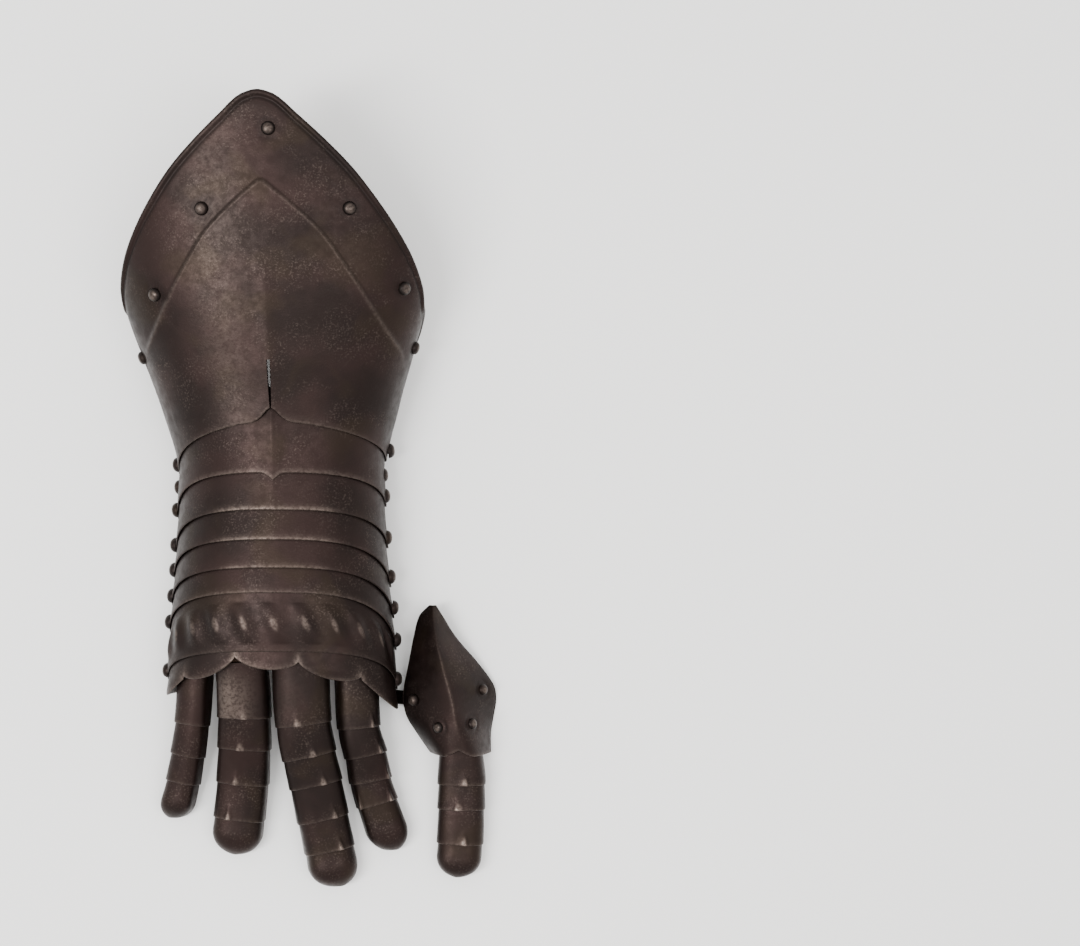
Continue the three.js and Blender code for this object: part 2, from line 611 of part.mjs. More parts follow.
function buildDigit(name, finger, firstTop, firstDepth) {
  const point = fingerPoint(finger);
  const { edges, tip } = finger;
  const columns = [-1, -0.74, -0.5, -0.28, -0.13, 0, 0.13, 0.28, 0.5, 0.74, 1];
  for (let k = 0; k <= edges.length; k += 1) {
    const last = k === edges.length;
    const top = k === 0 ? firstTop : edges[k - 1] + LAME_TAIL;
    const lower = last ? tip : edges[k];
    const kink = k === 0 ? (lower + top) / 2 : edges[k - 1];
    const places = last
      ? [...[0, 0.1, 0.26, 0.5, 1].map((v) => mix(lower, kink, v)), top]
      : [lower, kink, top];
    const rows = (s) => places.map((y) => {
      const depth = lameDepth(edges, k, y) + firstDepth;
      const raise = last ? 0 : creaseHeight(s, y, lower);
      return { y, out: raise - depth, deep: depth + SMALL_SHEET - raise };
    });
    const geometry = sheetOver(point, columns, rows, false);
    add(last ? `${name}_tip` : `${name}_lame_${k + 1}`, geometry, steel());
  }
  const under = evenly(tip + 12, firstTop + STRIP.up, 9);
  const strip = () => under.map((y) => ({
    y, out: -(STRIP.depth + firstDepth), deep: STRIP.depth + firstDepth + STRIP.thick,
  }));
  const stripColumns = evenly(-STRIP.half, STRIP.half, 2);
  add(`${name}_leather`, sheetOver(point, stripColumns, strip, false), leather());
}

// ---------------------------------------------------------------- thumb
function diamondPoint(s, y) {
  const at = (column) => along(DIAMOND, y, column);
  const side = s < 0 ? 'Left' : 'Right';
  const t = Math.abs(s);
  const x = mix(at('ridge'), at(side.toLowerCase()), t);
  const z = mix(at('zRidge'), at(`z${side}`), t ** at('round'));
  return new THREE.Vector3(HAND_X + x, y, z);
}

// The thumb pivot's hole, on the outer side of the thumb plate, and its axis.
function thumbPivotPlace() {
  const s = sectionAt(diamondPoint, THUMB_PIVOT.x + HAND_X, THUMB_PIVOT.y);
  return diamondPoint(s, THUMB_PIVOT.y);
}

function thumbAxis() {
  const s = sectionAt(diamondPoint, THUMB_PIVOT.x + HAND_X, THUMB_PIVOT.y);
  return normalOf(diamondPoint, s, THUMB_PIVOT.y);
}

function buildThumb() {
  const columns = [-1, -0.8, -0.55, -0.3, -0.12, 0, 0.12, 0.3, 0.55, 0.8, 1];
  const top = DIAMOND[0].y;
  const bottom = DIAMOND[DIAMOND.length - 1].y;
  const lower = (s) => bottom + 3.5 * Math.max(0, 1 - Math.abs(s) / 0.5) ** 1.3;
  const rows = (s) => [0, 0.13, 0.26, 0.38, 0.5, 0.64, 0.8, 0.93, 1]
    .map((v) => ({ y: mix(lower(s), top, v), out: 0, deep: SMALL_SHEET }));
  let solid = toSolid(sheetOver(diamondPoint, columns, rows, false));
  for (const rivet of DIAMOND_RIVETS) solid = solid.add(toSolid(dome(diamondPoint, rivet, 2.7)));
  const bore = new THREE.CylinderGeometry(HOLE_RADIUS, HOLE_RADIUS, 8, 8);
  solid = solid.subtract(toSolid(aimed(bore, thumbPivotPlace(), thumbAxis())));
  add('thumb_plate', fromSolid(solid), steel());
  const under = SMALL_SHEET + LUG_GAP + SHEET;
  const { seat, head, burr } = THUMB_PIVOT;
  const rivet = rivetGeometry(seat, -under - seat, head, burr);
  add('thumb_pivot_rivet', aimed(rivet, thumbPivotPlace(), thumbAxis()), rivetSteel());
  buildDigit('thumb', THUMB, bottom + THUMB_LAP.up, THUMB_LAP.depth);
}

buildCuff();
buildPlates();
buildRivets();
for (const [name, finger] of Object.entries(FINGERS)) buildDigit(name, finger, FINGER_TOP, 0);
buildThumb();

export default gauntlet;
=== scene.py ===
"""Armoured gauntlet for a right hand, finished in browned sheet steel.

Every plate is a sheet over a smooth form that is given as point(s, y): s runs across the
plate from -1 at one foot to 1 at the other, and y runs along the gauntlet. Tables and
surfaces are in millimetres in the maker's frame, and meshes are written in metres.
"""

import json
import math

import bpy
import numpy as np
from bpy.props import FloatProperty, FloatVectorProperty, IntProperty, PointerProperty
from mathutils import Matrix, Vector

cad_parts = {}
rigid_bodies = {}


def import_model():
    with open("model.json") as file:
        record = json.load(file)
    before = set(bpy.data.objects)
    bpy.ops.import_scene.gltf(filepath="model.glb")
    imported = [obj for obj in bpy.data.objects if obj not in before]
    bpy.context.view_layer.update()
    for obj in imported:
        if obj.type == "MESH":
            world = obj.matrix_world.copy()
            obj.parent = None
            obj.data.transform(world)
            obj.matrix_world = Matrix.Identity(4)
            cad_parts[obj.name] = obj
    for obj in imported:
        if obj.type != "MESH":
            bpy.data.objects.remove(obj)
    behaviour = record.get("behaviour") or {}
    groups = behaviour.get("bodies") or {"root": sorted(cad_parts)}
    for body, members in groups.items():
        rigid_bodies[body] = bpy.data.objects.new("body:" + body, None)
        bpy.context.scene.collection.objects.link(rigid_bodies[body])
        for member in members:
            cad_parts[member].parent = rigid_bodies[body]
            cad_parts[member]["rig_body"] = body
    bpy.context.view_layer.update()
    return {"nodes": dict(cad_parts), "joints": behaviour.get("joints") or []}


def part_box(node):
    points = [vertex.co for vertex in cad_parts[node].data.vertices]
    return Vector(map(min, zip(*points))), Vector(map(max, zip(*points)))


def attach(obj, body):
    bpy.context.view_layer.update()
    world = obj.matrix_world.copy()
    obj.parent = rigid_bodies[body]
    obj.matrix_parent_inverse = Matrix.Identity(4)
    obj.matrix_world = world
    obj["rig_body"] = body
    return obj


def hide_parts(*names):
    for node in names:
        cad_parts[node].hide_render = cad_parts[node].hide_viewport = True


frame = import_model()

bl_info = {
    "name": "Armoured Gauntlet",
    "version": (1, 0, 0),
    "blender": (4, 5, 0),
    "location": "View3D > Sidebar > Gauntlet",
    "description": "Builds a browned steel gauntlet around its packed frame",
    "category": "Add Mesh",
}

MM = 0.001

# ---------------------------------------------------------------- driving dimensions, mm
CENTRE_SHIFT = np.array([0.36, 0.69, 0])  # the maker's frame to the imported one
HAND_X = -15.6  # the hand's middle line
CUFF_LEAN = 0.0235  # the cuff leans to the little finger's side, mm for each mm
WRIST_Y = 20  # where that lean starts
SLIDE = 0.35  # gap between visible plates; the solids leave 0.65
THIN_EDGE = 0.5  # share of the sheet left where a plate's inner side is filed to its edge
THIN_REACH = 7  # how far from its edge a plate is filed thinner
FLEX = math.radians(3)  # each plate's bend towards the palm
EAR = 5.5  # plate beyond a pivot, along the side wall
ARCH_SHARE = 0.82  # share of a half section that is arch; the rest is side wall
EAR_SHARE = 0.84  # share of a half section where a plate's edge reaches its ear
TUCK = 3  # how far a side wall draws in at its foot
RIDGE_WIDTH = 7
SLIT = {"width": 1.3, "narrow": 0.7, "inner": 66.4}
NOTCH = {"depth": 8, "half": 9, "power": 1.8}
CUSP = {"depth": 3.6, "half": 6, "power": 1.5}
RIM_FOOT_DROP = 21
BEAD = {"width": 2.6, "out": 0.8, "inward": 0.5, "groove": 0.35}
FLUTE_BAND = {"low": 0.14, "high": 0.84, "share": 0.74}
SCALLOP_DEPTH = 4.8
SCALLOP_BAND = 8.5
FINGER_TOP = -79  # where the first finger lames end under the scalloped plate
LAME_TAIL = 6
LAME_STEP = 0.75  # how far a small lame lies under the one above; its edge is filed thin
TIP_LAP = 14
DIGIT_ARCH_SHARE = 0.74
DIGIT_FULLNESS = 0.82  # under 1, a digit's section is flatter on top and fuller at its sides
STRIP = {"depth": 4.2, "thick": 1.8, "half": 0.3, "up": 6}
LUG = {"gap": 0.8, "inner": 16, "reach": 5, "half": 3.4}
THUMB_PIVOT = {"x": 65.4, "y": -99.2}
HEAD_SUNK = {"left": 1.0, "right": 1.5}  # heads drawn down tight on their plates


def curve_table(columns, rows):
    """Columns of a table as arrays, sorted along y, which is the first column."""
    values = np.array(sorted(rows), float).T
    return dict(zip(columns.split(), values))


# Outer form of cuff and hand: half width, height of crown and of the widest place, ridge.
FORM = curve_table("y half crown waist ridge", [
    (-112, 57.5, 37.0, 14, 0), (-90, 56.8, 43.0, 14, 0), (-70, 56.2, 47.5, 14, 0),
    (-45, 54.0, 50.5, 14, 0), (-20, 52.2, 52.0, 14, 0), (5, 51.4, 53.0, 14, 0.4),
    (21, 51.9, 54.0, 14, 1.0), (45, 58.3, 57.0, 17, 1.2), (70, 66.0, 62.5, 23, 1.0),
    (93, 72.7, 67.5, 30, 0.8), (115, 75.8, 71.5, 35, 0.3), (150, 78.5, 77.0, 42, 0),
    (192, 79.5, 81.5, 48, 0),
])
RIM = curve_table("y half", [
    (93, 72.7), (103, 72.4), (115.5, 68.8), (128.5, 62.3), (142.5, 53.1),
    (156, 42.8), (168, 31.2), (180.5, 17.6), (188.5, 8.4), (191.5, 0),
])
BORDER = curve_table("half y", [
    (0, 150.2), (13.5, 139.3), (27.5, 126), (36.5, 113), (46, 98), (54, 84), (59.5, 75),
])
CUFF_RIVETS = [
    (1, 173), (-31, 136.5), (38, 137), (-55.5, 97.5), (62.5, 101), (-66, 69), (68.5, 74),
]
# Plates from the cuff on: lower edge on the middle line, its pivots left and right, the
# bow between them, the hidden tail of the next plate, and how worn the edge is: how
# strongly, and how far to each side of the middle line.
PLATES = [dict(zip("name crown left right bow tail worn reach".split(), row)) for row in [
    ("cuff", 37.5, 17.0, 23.9, 1.55, 15.5, 0.45, 60),
    ("wrist_plate", 13.0, -5.3, 1.6, 2.7, 11, 0.5, 48),
    ("hand_lame_1", -4.6, -22.6, -19.0, 2.7, 11, 1.0, 30),
    ("hand_lame_2", -18.9, -34.9, -38.3, 2.7, 11, 0.9, 30),
    ("hand_lame_3", -32.4, -47.7, -53.6, 2.7, 10, 0.6, 26),
    ("hand_lame_4", -44.4, -60.5, -69.4, 2.7, 9, 0.4, 50),
    ("knuckle_plate", -72.9, -84.4, -88.8, 2.7, 10, 0.2, 50),
]]
SCALLOPS = np.array([
    (-57, -95), (-46.5, -85.5), (-20, -75.7), (11.4, -78), (41, -85.7), (57, -102),
], float)
# Digits: depth of arch and wall, lower edges of the lames, where the tip closes and ends,
# stations along the digit, and the places of the raised creases across each lame.
DIGITS = {
    "little": {
        "arch": 7, "wall": 4.5, "edges": [-110.2, -126, -139.8], "close": -149, "tip": -159,
        "stations": curve_table("y x foot half roll", [
            (-74, -44.2, 13.8, 8.2, -24), (-110, -47.4, 10, 8.3, -24),
            (-140, -52.6, 2.5, 8.2, -20), (-159, -56.8, 0, 8.2, -10),
        ]),
        "creases": [(), (), ()],
    },
    "ring": {
        "arch": 9, "wall": 5, "edges": [-107, -123, -140.8, -158.8], "close": -165,
        "tip": -177,
        "stations": curve_table("y x foot half roll", [
            (-74, -18.6, 23.5, 12.2, 0), (-107, -18, 16, 13.1, 0), (-141, -20.3, 5, 13.1, 0),
            (-177, -24.6, 0, 12.4, 0),
        ]),
        "creases": [(0.02,), (-0.02,), (-0.06,), (-0.14,)],
    },
    "middle": {
        "arch": 10, "wall": 5, "edges": [-110, -126, -140.6, -158, -173.8], "close": -180,
        "tip": -192.6,
        "stations": curve_table("y x foot half roll", [
            (-74, 10.2, 23, 13.8, 0), (-110, 11.9, 17, 13.8, 3), (-141, 18, 7, 13.4, 8),
            (-174, 25, 0, 12.6, 12), (-192.6, 28.5, 0, 12.6, 12),
        ]),
        "creases": [(-0.06,), (0.05,), (0.1,), (0.16,), (0.14,)],
    },
    "index": {
        "arch": 7.5, "wall": 4.5, "edges": [-112, -125.8, -139, -150.4], "close": -163,
        "tip": -174.8,
        "stations": curve_table("y x foot half roll", [
            (-76, 40.5, 14, 10.4, 24), (-112, 41.6, 9.5, 10.4, 24),
            (-126, 44.8, 6, 10.4, 24), (-141, 47, 2, 10.4, 22), (-163, 52.6, 0, 10.2, 14),
            (-174.8, 55.6, 0, 10.2, 10),
        ]),
        "creases": [(0.16,), (0.2,), (0.3,), (-0.55, 0.22)],
    },
    "thumb": {
        "arch": 10, "wall": 5, "edges": [-141.6, -154, -171.3], "close": -178, "tip": -189.5,
        "stations": curve_table("y x foot half roll", [
            (-112, 87.6, 4, 10.4, 0), (-127, 87.9, 3, 11.9, 0), (-141, 88.2, 2, 13.2, 0),
            (-171, 87.4, 0, 12.9, 0), (-189.5, 86, 0, 12.2, 0),
        ]),
        "creases": [(0.05,), (-0.03,), (0.06,)],
    },
}
# Diamond plate of the thumb: left edge, ridge and right edge, their heights, and how round
# the faces between them are.
DIAMOND = curve_table("y left ridge right z_left z_ridge z_right round", [
    (-52.5, 72.4, 74.1, 75.8, 11.5, 12.5, 11.5, 1.3),
    (-57.5, 67.6, 74.5, 78.9, 10.5, 16, 11, 1.2),
    (-68, 64.6, 76.0, 85.2, 9.5, 20, 8.5, 1.15),
    (-83, 61.7, 79.9, 97.5, 8.6, 24, 4, 1.15),
    (-93, 59.7, 82.8, 104.3, 8.2, 25.3, 2.2, 1.15),
    (-100, 59.3, 84.5, 105.4, 8.0, 25.5, 1.3, 1.15),
    (-108, 61.0, 85.8, 104.2, 7.5, 25, 1.1, 1.3),
    (-116.5, 66.0, 86.9, 102.8, 6.0, 24, 1.6, 1.9),
    (-126.5, 72.6, 87.6, 102.8, 4, 22.5, 3, 2.7),
])
DIAMOND_RIVETS = [(77.4, -112), (93.8, -110.5), (98.9, -94.5)]


# ---------------------------------------------------------------- settings
class GauntletSizes(bpy.types.PropertyGroup):
    """Sizes of the gauntlet's sheet and its raised work."""

    sheet: FloatProperty(
        name="Plate thickness", description="Steel of the cuff and the hand plates",
        default=1.3 * MM, unit="LENGTH", precision=5,
    )
    small_sheet: FloatProperty(
        name="Lame thickness", description="Steel of the finger and thumb lames",
        default=1.0 * MM, unit="LENGTH", precision=5,
    )
    border_step: FloatProperty(
        name="Border step", description="Height of the stepped line inside the cuff's rim",
        default=0.55 * MM, unit="LENGTH", precision=5,
    )
    flute_count: IntProperty(
        name="Flutes", description="Raised flutes over the knuckles", default=14, min=4,
    )
    flute_height: FloatProperty(
        name="Flute height", description="How far the flutes stand out",
        default=1.3 * MM, unit="LENGTH", precision=5,
    )
    flute_slant: FloatProperty(
        name="Flute slant", description="Lean of a flute, in flute spacings", default=0.45,
    )
    crease_height: FloatProperty(
        name="Crease height", description="Raised pleat in the edge of a small lame",
        default=0.9 * MM, unit="LENGTH", precision=5,
    )
    rivet_radius: FloatProperty(
        name="Rivet radius", description="Domed heads of the pivots",
        default=3.75 * MM, unit="LENGTH", precision=5,
    )
    cuff_rivet_radius: FloatProperty(
        name="Cuff rivet radius", description="Domed heads along the cuff's rim",
        default=3.3 * MM, unit="LENGTH", precision=5,
    )
    hammering: FloatProperty(
        name="Hammering", description="Depth of the soft dents left by the planishing hammer",
        default=0.09 * MM, unit="LENGTH", precision=5,
    )


def colour_setting(name, description, value):
    """A colour that the user may change, given as sRGB hex."""
    return FloatVectorProperty(
        name=name, description=description, subtype="COLOR", size=3, min=0, max=1,
        default=linear(value)[:3],
    )


def linear(value):
    """An sRGB hex colour as linear RGBA."""
    parts = [int(value[i:i + 2], 16) / 255 for i in (1, 3, 5)]
    return tuple(p / 12.92 if p <= 0.04045 else ((p + 0.055) / 1.055) ** 2.4 for p in parts) + (1,)


class GauntletColours(bpy.types.PropertyGroup):
    """Colours of the finishes."""

    patina: colour_setting("Patina", "Browned steel as most of it looks", "#231613")
    patina_dark: colour_setting("Dark patina", "Where the browning is thickest", "#180e0b")
    patina_olive: colour_setting("Olive patina", "Old oil over the browning", "#231910")
    # Bare steel for rubbed edges and specks; the same colour is laid on as painted highlight on a
    # band left of the cuff's middle, on the ring finger's root and along the cuff's border line.
    bare_steel_and_highlight: colour_setting("Worn steel", "Edges and specks rubbed bright", "#6c5f57")
    rivet: colour_setting("Rivets", "Browned rivet iron", "#150f0d")
    leather: colour_setting("Leather", "Strips under the small lames", "#4a2f1e")
    floor: colour_setting("Floor", "Seamless paper under the gauntlet", "#f4f3f1")


# ---------------------------------------------------------------- curves
def along(rows, y, column, key="y"):
    """Smooth value of one column of a table at places along its key column."""
    at, values = rows[key], rows[column]
    y = np.clip(y, at[0], at[-1])
    k = np.clip(np.searchsorted(at, y, side="left") - 1, 0, len(at) - 2)
    ahead = np.minimum(np.arange(len(at)) + 1, len(at) - 1)
    behind = np.maximum(np.arange(len(at)) - 1, 0)
    slope = (values[ahead] - values[behind]) / (at[ahead] - at[behind])
    span = at[k + 1] - at[k]
    t = (y - at[k]) / span
    h = (1 - t) ** 2
    return ((1 + 2 * t) * h * values[k] + t * h * span * slope[k]
            + t * t * (3 - 2 * t) * values[k + 1] + t * t * (t - 1) * span * slope[k + 1])


def mix(a, b, t):
    return a + (b - a) * t


def smooth(low, high, value):
    """0 below low, 1 above high, and a smooth rise between."""
    t = np.clip((value - low) / (high - low), 0, 1)
    return t * t * (3 - 2 * t)


def bisect(low, high, is_low, steps=36):
    """The place between low and high where is_low(place) turns false."""
    for _ in range(steps):
        middle = (low + high) / 2
        below = is_low(middle)
        low = np.where(below, middle, low)
        high = np.where(below, high, middle)
    return low


def hammered(place, depth, seed):
    """Soft dents, 12 to 40 mm wide, as a height over each place."""
    rng = np.random.default_rng(seed)
    height = np.zeros(place.shape[:-1])
    for width in (12, 15, 19, 24, 31, 40):
        direction = rng.normal(size=3)
        direction /= np.linalg.norm(direction)
        phase = rng.uniform(0, 2 * math.pi)
        height += np.sin(place @ direction * (2 * math.pi / width) + phase) * (width / 30)
    return depth * height / 2


# ---------------------------------------------------------------- surfaces
def form_point(s, y):
    """The outer form of cuff and hand."""
    waist = along(FORM, y, "waist")
    rise = along(FORM, y, "crown") - waist
    t = np.abs(s)
    angle = np.minimum(t / ARCH_SHARE, 1) * math.pi / 2
    below = np.maximum(t - ARCH_SHARE, 0) / (1 - ARCH_SHARE)
    x = along(FORM, y, "half") * np.sin(angle) - TUCK * below * below
    ridge = along(FORM, y, "ridge") * np.maximum(0, 1 - x / RIDGE_WIDTH) ** 1.5
    z = np.where(below > 0, waist * (1 - below), waist + rise * np.cos(angle) + ridge)
    lean = -CUFF_LEAN * np.maximum(0, y - WRIST_Y)
    return np.stack([HAND_X + lean + np.sign(s) * x, y + 0 * z, z], -1)


def digit_point(digit):
    """The outer form of a finger or the thumb, closed in a quarter round at its tip."""
    stations = digit["stations"]

    def point(s, y):
        at = np.maximum(y, digit["tip"])
        roll = np.radians(along(stations, at, "roll"))
        closing = (digit["close"] - at) / (digit["close"] - digit["tip"])
        shrink = np.sqrt(1 - np.clip(closing, 0, 0.9995) ** 2)
        half = along(stations, at, "half") * shrink
        arch = digit["arch"] * mix(0.55, 1, shrink)
        wall = digit["wall"] * shrink
        t = np.abs(s)
        angle = np.minimum(t / DIGIT_ARCH_SHARE, 1) * math.pi / 2
        below = np.maximum(t - DIGIT_ARCH_SHARE, 0) / (1 - DIGIT_ARCH_SHARE)
        across = np.sign(s) * half * np.sin(angle) ** DIGIT_FULLNESS
        drop = arch * (1 - np.cos(angle) ** DIGIT_FULLNESS) + wall * below
        top = (along(stations, at, "foot") + (arch + wall) * np.cos(roll)
               + half * np.abs(np.sin(roll)))
        lateral = across * np.cos(roll) - drop * np.sin(roll)
        z = top - across * np.sin(roll) - drop * np.cos(roll)
        bend = (along(stations, at + 1, "x") - along(stations, at - 1, "x")) / 2
        square = 1 / np.sqrt(1 + bend * bend)
        x = HAND_X + along(stations, at, "x") + lateral * square
        return np.stack([x, y - lateral * bend * square, z], -1)

    return point


def diamond_point(s, y):
    """The thumb's diamond plate, two faces that meet in a ridge."""
    t = np.abs(s)
    left = s < 0
    edge = np.where(left, along(DIAMOND, y, "left"), along(DIAMOND, y, "right"))
    edge_z = np.where(left, along(DIAMOND, y, "z_left"), along(DIAMOND, y, "z_right"))
    x = mix(along(DIAMOND, y, "ridge"), edge, t)
    z = mix(along(DIAMOND, y, "z_ridge"), edge_z, t ** along(DIAMOND, y, "round"))
    return np.stack([HAND_X + x, y + 0 * x, z], -1)


def normal_of(point, s, y, low=-1000.0):
    """The outward normal of a surface that ends at low."""
    ds, dy = 0.004, 0.05
    across = point(s + ds, y) - point(s - ds, y)
    length = point(s, y + dy) - point(s, np.maximum(y - dy, low))
    n = np.cross(across, length)
    return n / np.linalg.norm(n, axis=-1, keepdims=True)


def section_at(point, x, y):
    """The s at which a surface stands over a given x."""
    x, y = np.broadcast_arrays(np.asarray(x, float), np.asarray(y, float))
    return bisect(np.full(x.shape, -0.8), np.full(x.shape, 0.8), lambda s: point(s, y)[..., 0] < x)


# ---------------------------------------------------------------- plate edges
def peak(x, shape):
    return shape["depth"] * np.maximum(0, 1 - np.abs(x) / shape["half"]) ** shape["power"]


def sideways(s):
    """Distance from the hand's middle line at s, near the wrist."""
    return 52 * np.sin(np.minimum(np.abs(s) / ARCH_SHARE, 1) * math.pi / 2) * np.sign(s)


def plain_edge(i, s):
    """Lower edge of plate i without its notch or point."""
    plate = PLATES[i]
    share = np.minimum(np.abs(s) / EAR_SHARE, 1)
    side = np.where(s < 0, plate["left"], plate["right"])
    return mix(plate["crown"], side - EAR, share ** plate["bow"])


def scallop_edge(s):
    x = sideways(s) * 57 / 52
    k = np.clip(np.searchsorted(SCALLOPS[:, 0], x, side="left") - 1, 0, len(SCALLOPS) - 2)
    a, b = SCALLOPS[k], SCALLOPS[k + 1]
    t = np.clip((x - a[..., 0]) / (b[..., 0] - a[..., 0]), 0, 1)
    outer = (k == 0) | (k == len(SCALLOPS) - 2)
    wave = np.where(outer, 0.35, np.sin(math.pi * t) ** 0.6)
    return mix(a[..., 1], b[..., 1], t) - SCALLOP_DEPTH * wave


def lower_edge(i, s):
    if i == len(PLATES):
        return scallop_edge(s)
    y = plain_edge(i, s)
    if i == 0:
        return y + peak(sideways(s), NOTCH)
    return y - peak(sideways(s), CUSP) if i == 1 else y


def filed(distance):
    """Share of a sheet's thickness that is left at a distance from its lower edge."""
    return mix(THIN_EDGE, 1, np.clip(distance / THIN_REACH, 0, 1))


def plate_depth(i, s, y, sheet):
    """How deep plate i lies under the form, so that it slides under the plate above."""
    if i == 0:
        return 0 * y
    edge = plain_edge(i - 1, s)
    pivot = mix(PLATES[i - 1]["left"], PLATES[i - 1]["right"], 0.5 + s / 2)
    reach = np.maximum(0, np.maximum(y, edge) - pivot)
    step = sheet * filed(y - edge) + SLIDE + FLEX * reach
    own = plain_edge(i, s) if i < len(PLATES) else edge - SCALLOP_BAND
    shown = step * np.clip((y - own) / (edge - own), 0, 1)
    under = step + 0.03 * (y - edge) + plate_depth(i - 1, s, y, sheet)
    return np.where(y >= edge, under, shown)


def rim_y(s):
    """Where the cuff's pointed rim crosses the section line s."""
    t = np.abs(s)
    sine = np.sin(np.minimum(t / ARCH_SHARE, 1) * math.pi / 2)
    low, high = np.full(s.shape, RIM["y"][0]), np.full(s.shape, RIM["y"][-1])
    arch = bisect(low, high, lambda y: along(FORM, y, "half") * sine < along(RIM, y, "half"))
    wall = np.maximum(t - ARCH_SHARE, 0) / (1 - ARCH_SHARE)
    return np.where(wall > 0, RIM["y"][0] - RIM_FOOT_DROP * wall ** 1.4, arch)


BORDER_FOOT = 0.56  # the s where the stepped border line starts to fade out
BORDER_FALL = 60  # how fast its row of the mesh runs on down the side wall


def border_y(s):
    """Where the stepped border line crosses the section line s."""
    t = np.minimum(np.abs(s), BORDER_FOOT)
    sine = np.sin(t / ARCH_SHARE * math.pi / 2)
    low, high = np.full(s.shape, 70.0), np.full(s.shape, 150.2)

    def inside(y):
        return y < along(BORDER, along(FORM, y, "half") * sine, "y", key="half")

    return bisect(low, high, inside) - BORDER_FALL * np.maximum(0, np.abs(s) - BORDER_FOOT)


# ---------------------------------------------------------------- meshes
def new_object(name, points, faces, worn=None, painted_shade=None, sharp=38):
    """A mesh object from points in millimetres, with the share of wear and painted highlight and of
    painted shade at each point.
    """
    mesh = bpy.data.meshes.new(name)
    points = (np.asarray(points, float).reshape(-1, 3) + CENTRE_SHIFT) * MM
    mesh.from_pydata(points.tolist(), [], faces)
    for label, values in (("worn", worn), ("painted_shade", painted_shade)):
        attribute = mesh.attributes.new(label, "FLOAT", "POINT")
        if values is not None:
            attribute.data.foreach_set("value", np.asarray(values, np.float32).ravel())
    mesh.shade_smooth()
    mesh.set_sharp_from_angle(angle=math.radians(sharp))
    mesh.validate()
    made = bpy.data.objects.new(name, mesh)
    bpy.context.scene.collection.objects.link(made)
    return made


def sheet_faces(solid):
    """Faces of a closed sheet whose cells are solid or open: outer, inner and edge faces."""
    rows, columns = solid.shape[0] + 1, solid.shape[1] + 1
    inner = rows * columns
    faces = []
    padded = np.pad(solid, 1)
    for r in range(rows - 1):
        for c in range(columns - 1):
            if not solid[r, c]:
                continue
            a, b = r * columns + c, r * columns + c + 1
            d, e = a + columns, b + columns
            faces.append((a, b, e, d))
            faces.append((a + inner, d + inner, e + inner, b + inner))
            if not padded[r, c + 1]:
                faces.append((b, a, a + inner, b + inner))
            if not padded[r + 2, c + 1]:
                faces.append((d, e, e + inner, d + inner))
            if not padded[r + 1, c]:
                faces.append((a, d, d + inner, a + inner))
            if not padded[r + 1, c + 2]:
                faces.append((e, b, b + inner, e + inner))
    return faces


def sheet_object(name, point, s, y, out, deep, flat_feet=False, solid=None, worn=None,
                 painted_shade=None, dents=0.0, seed=0, low=-1000.0):
    """A closed sheet over a surface: s, y, out and deep are grids, row by column. out is
    the height over the surface and deep the depth of the inner side under it."""
    s, y, out, deep = np.broadcast_arrays(s, y, out, deep)
    base = point(s, y)
    normal = normal_of(point, s, y, low)
    wave = hammered(base, dents, seed)[..., None] if dents else 0
    outer = base + normal * (out[..., None] + wave)
    inner = base - normal * (deep[..., None] - wave)
    for side in (outer, inner):
        side[..., 2] = np.maximum(side[..., 2], 0)
        if flat_feet:
            side[..., [0, -1], 2] = 0
    cells = np.ones((s.shape[0] - 1, s.shape[1] - 1), bool) if solid is None else solid
    doubled = [None if v is None else np.stack([np.broadcast_to(v, s.shape)] * 2)
               for v in (worn, painted_shade)]
    return new_object(name, np.stack([outer, inner]), sheet_faces(cells), *doubled)


def rounded_edge(sheet):
    """Rows that round a cut edge: distance from it, and the loss of outer and inner side."""
    back = np.array([0, 0.1, 0.28, 0.5]) * sheet
    loss = np.array([0.36, 0.16, 0.03, 0]) * sheet
    return back[:, None], loss[:, None]


def rows_from(edge, sheet, further):
    """Grid rows from a cut edge on: y, what the rounding takes off each side, and the
    distance from the edge. further are the y of the rows after the rounded ones."""
    back, loss = rounded_edge(sheet)
    y = np.concatenate([edge + back, further])
    return y, np.concatenate([loss + 0 * edge, 0 * further]), y - edge


def edge_wear(distance, strength, width=0.9):
    return strength * np.exp(-np.maximum(distance, 0) / width)


def lathe(name, profile, place, direction, worn=None, segments=40):
    """A turned piece: profile holds (radius, height) from bottom to top."""
    turn = Vector((0, 0, 1)).rotation_difference(Vector(direction)).to_matrix()
    turn = np.array(turn)
    angles = np.linspace(0, 2 * math.pi, segments, endpoint=False)
    rings = [[(r * math.cos(a), r * math.sin(a), h) for a in angles] for r, h in profile]
    points = np.array(rings).reshape(-1, 3) @ turn.T + np.asarray(place)
    faces = []
    for k in range(len(profile) - 1):
        for j in range(segments):
            a, b = k * segments + j, k * segments + (j + 1) % segments
            faces.append((a, b, b + segments, a + segments))
    faces.append(tuple(reversed(range(segments))))
    top = (len(profile) - 1) * segments
    faces.append(tuple(range(top, top + segments)))
    wear_and_highlight_amount = None if worn is None else np.repeat(worn, segments)
    return new_object(name, points, faces, wear_and_highlight_amount)


def dome_profile(radius, height, seat):
    """A hammered rivet head: a round dome with a small lip where it meets the plate."""
    steps = np.linspace(0, 1, 12)[:-1]
    dome = [(radius * math.cos(t * math.pi / 2) ** 0.8, seat + height * math.sin(t * math.pi / 2))
            for t in steps]
    return [*dome, (0.12 * radius, seat + height)]


def finish_piece(piece, body, nodes=(), material=None):
    """Gives a piece its finish, its body and the CAD nodes that it stands for."""
    piece.data.materials.append(material)
    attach(piece, body)
    if nodes:
        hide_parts(*nodes)
    return piece


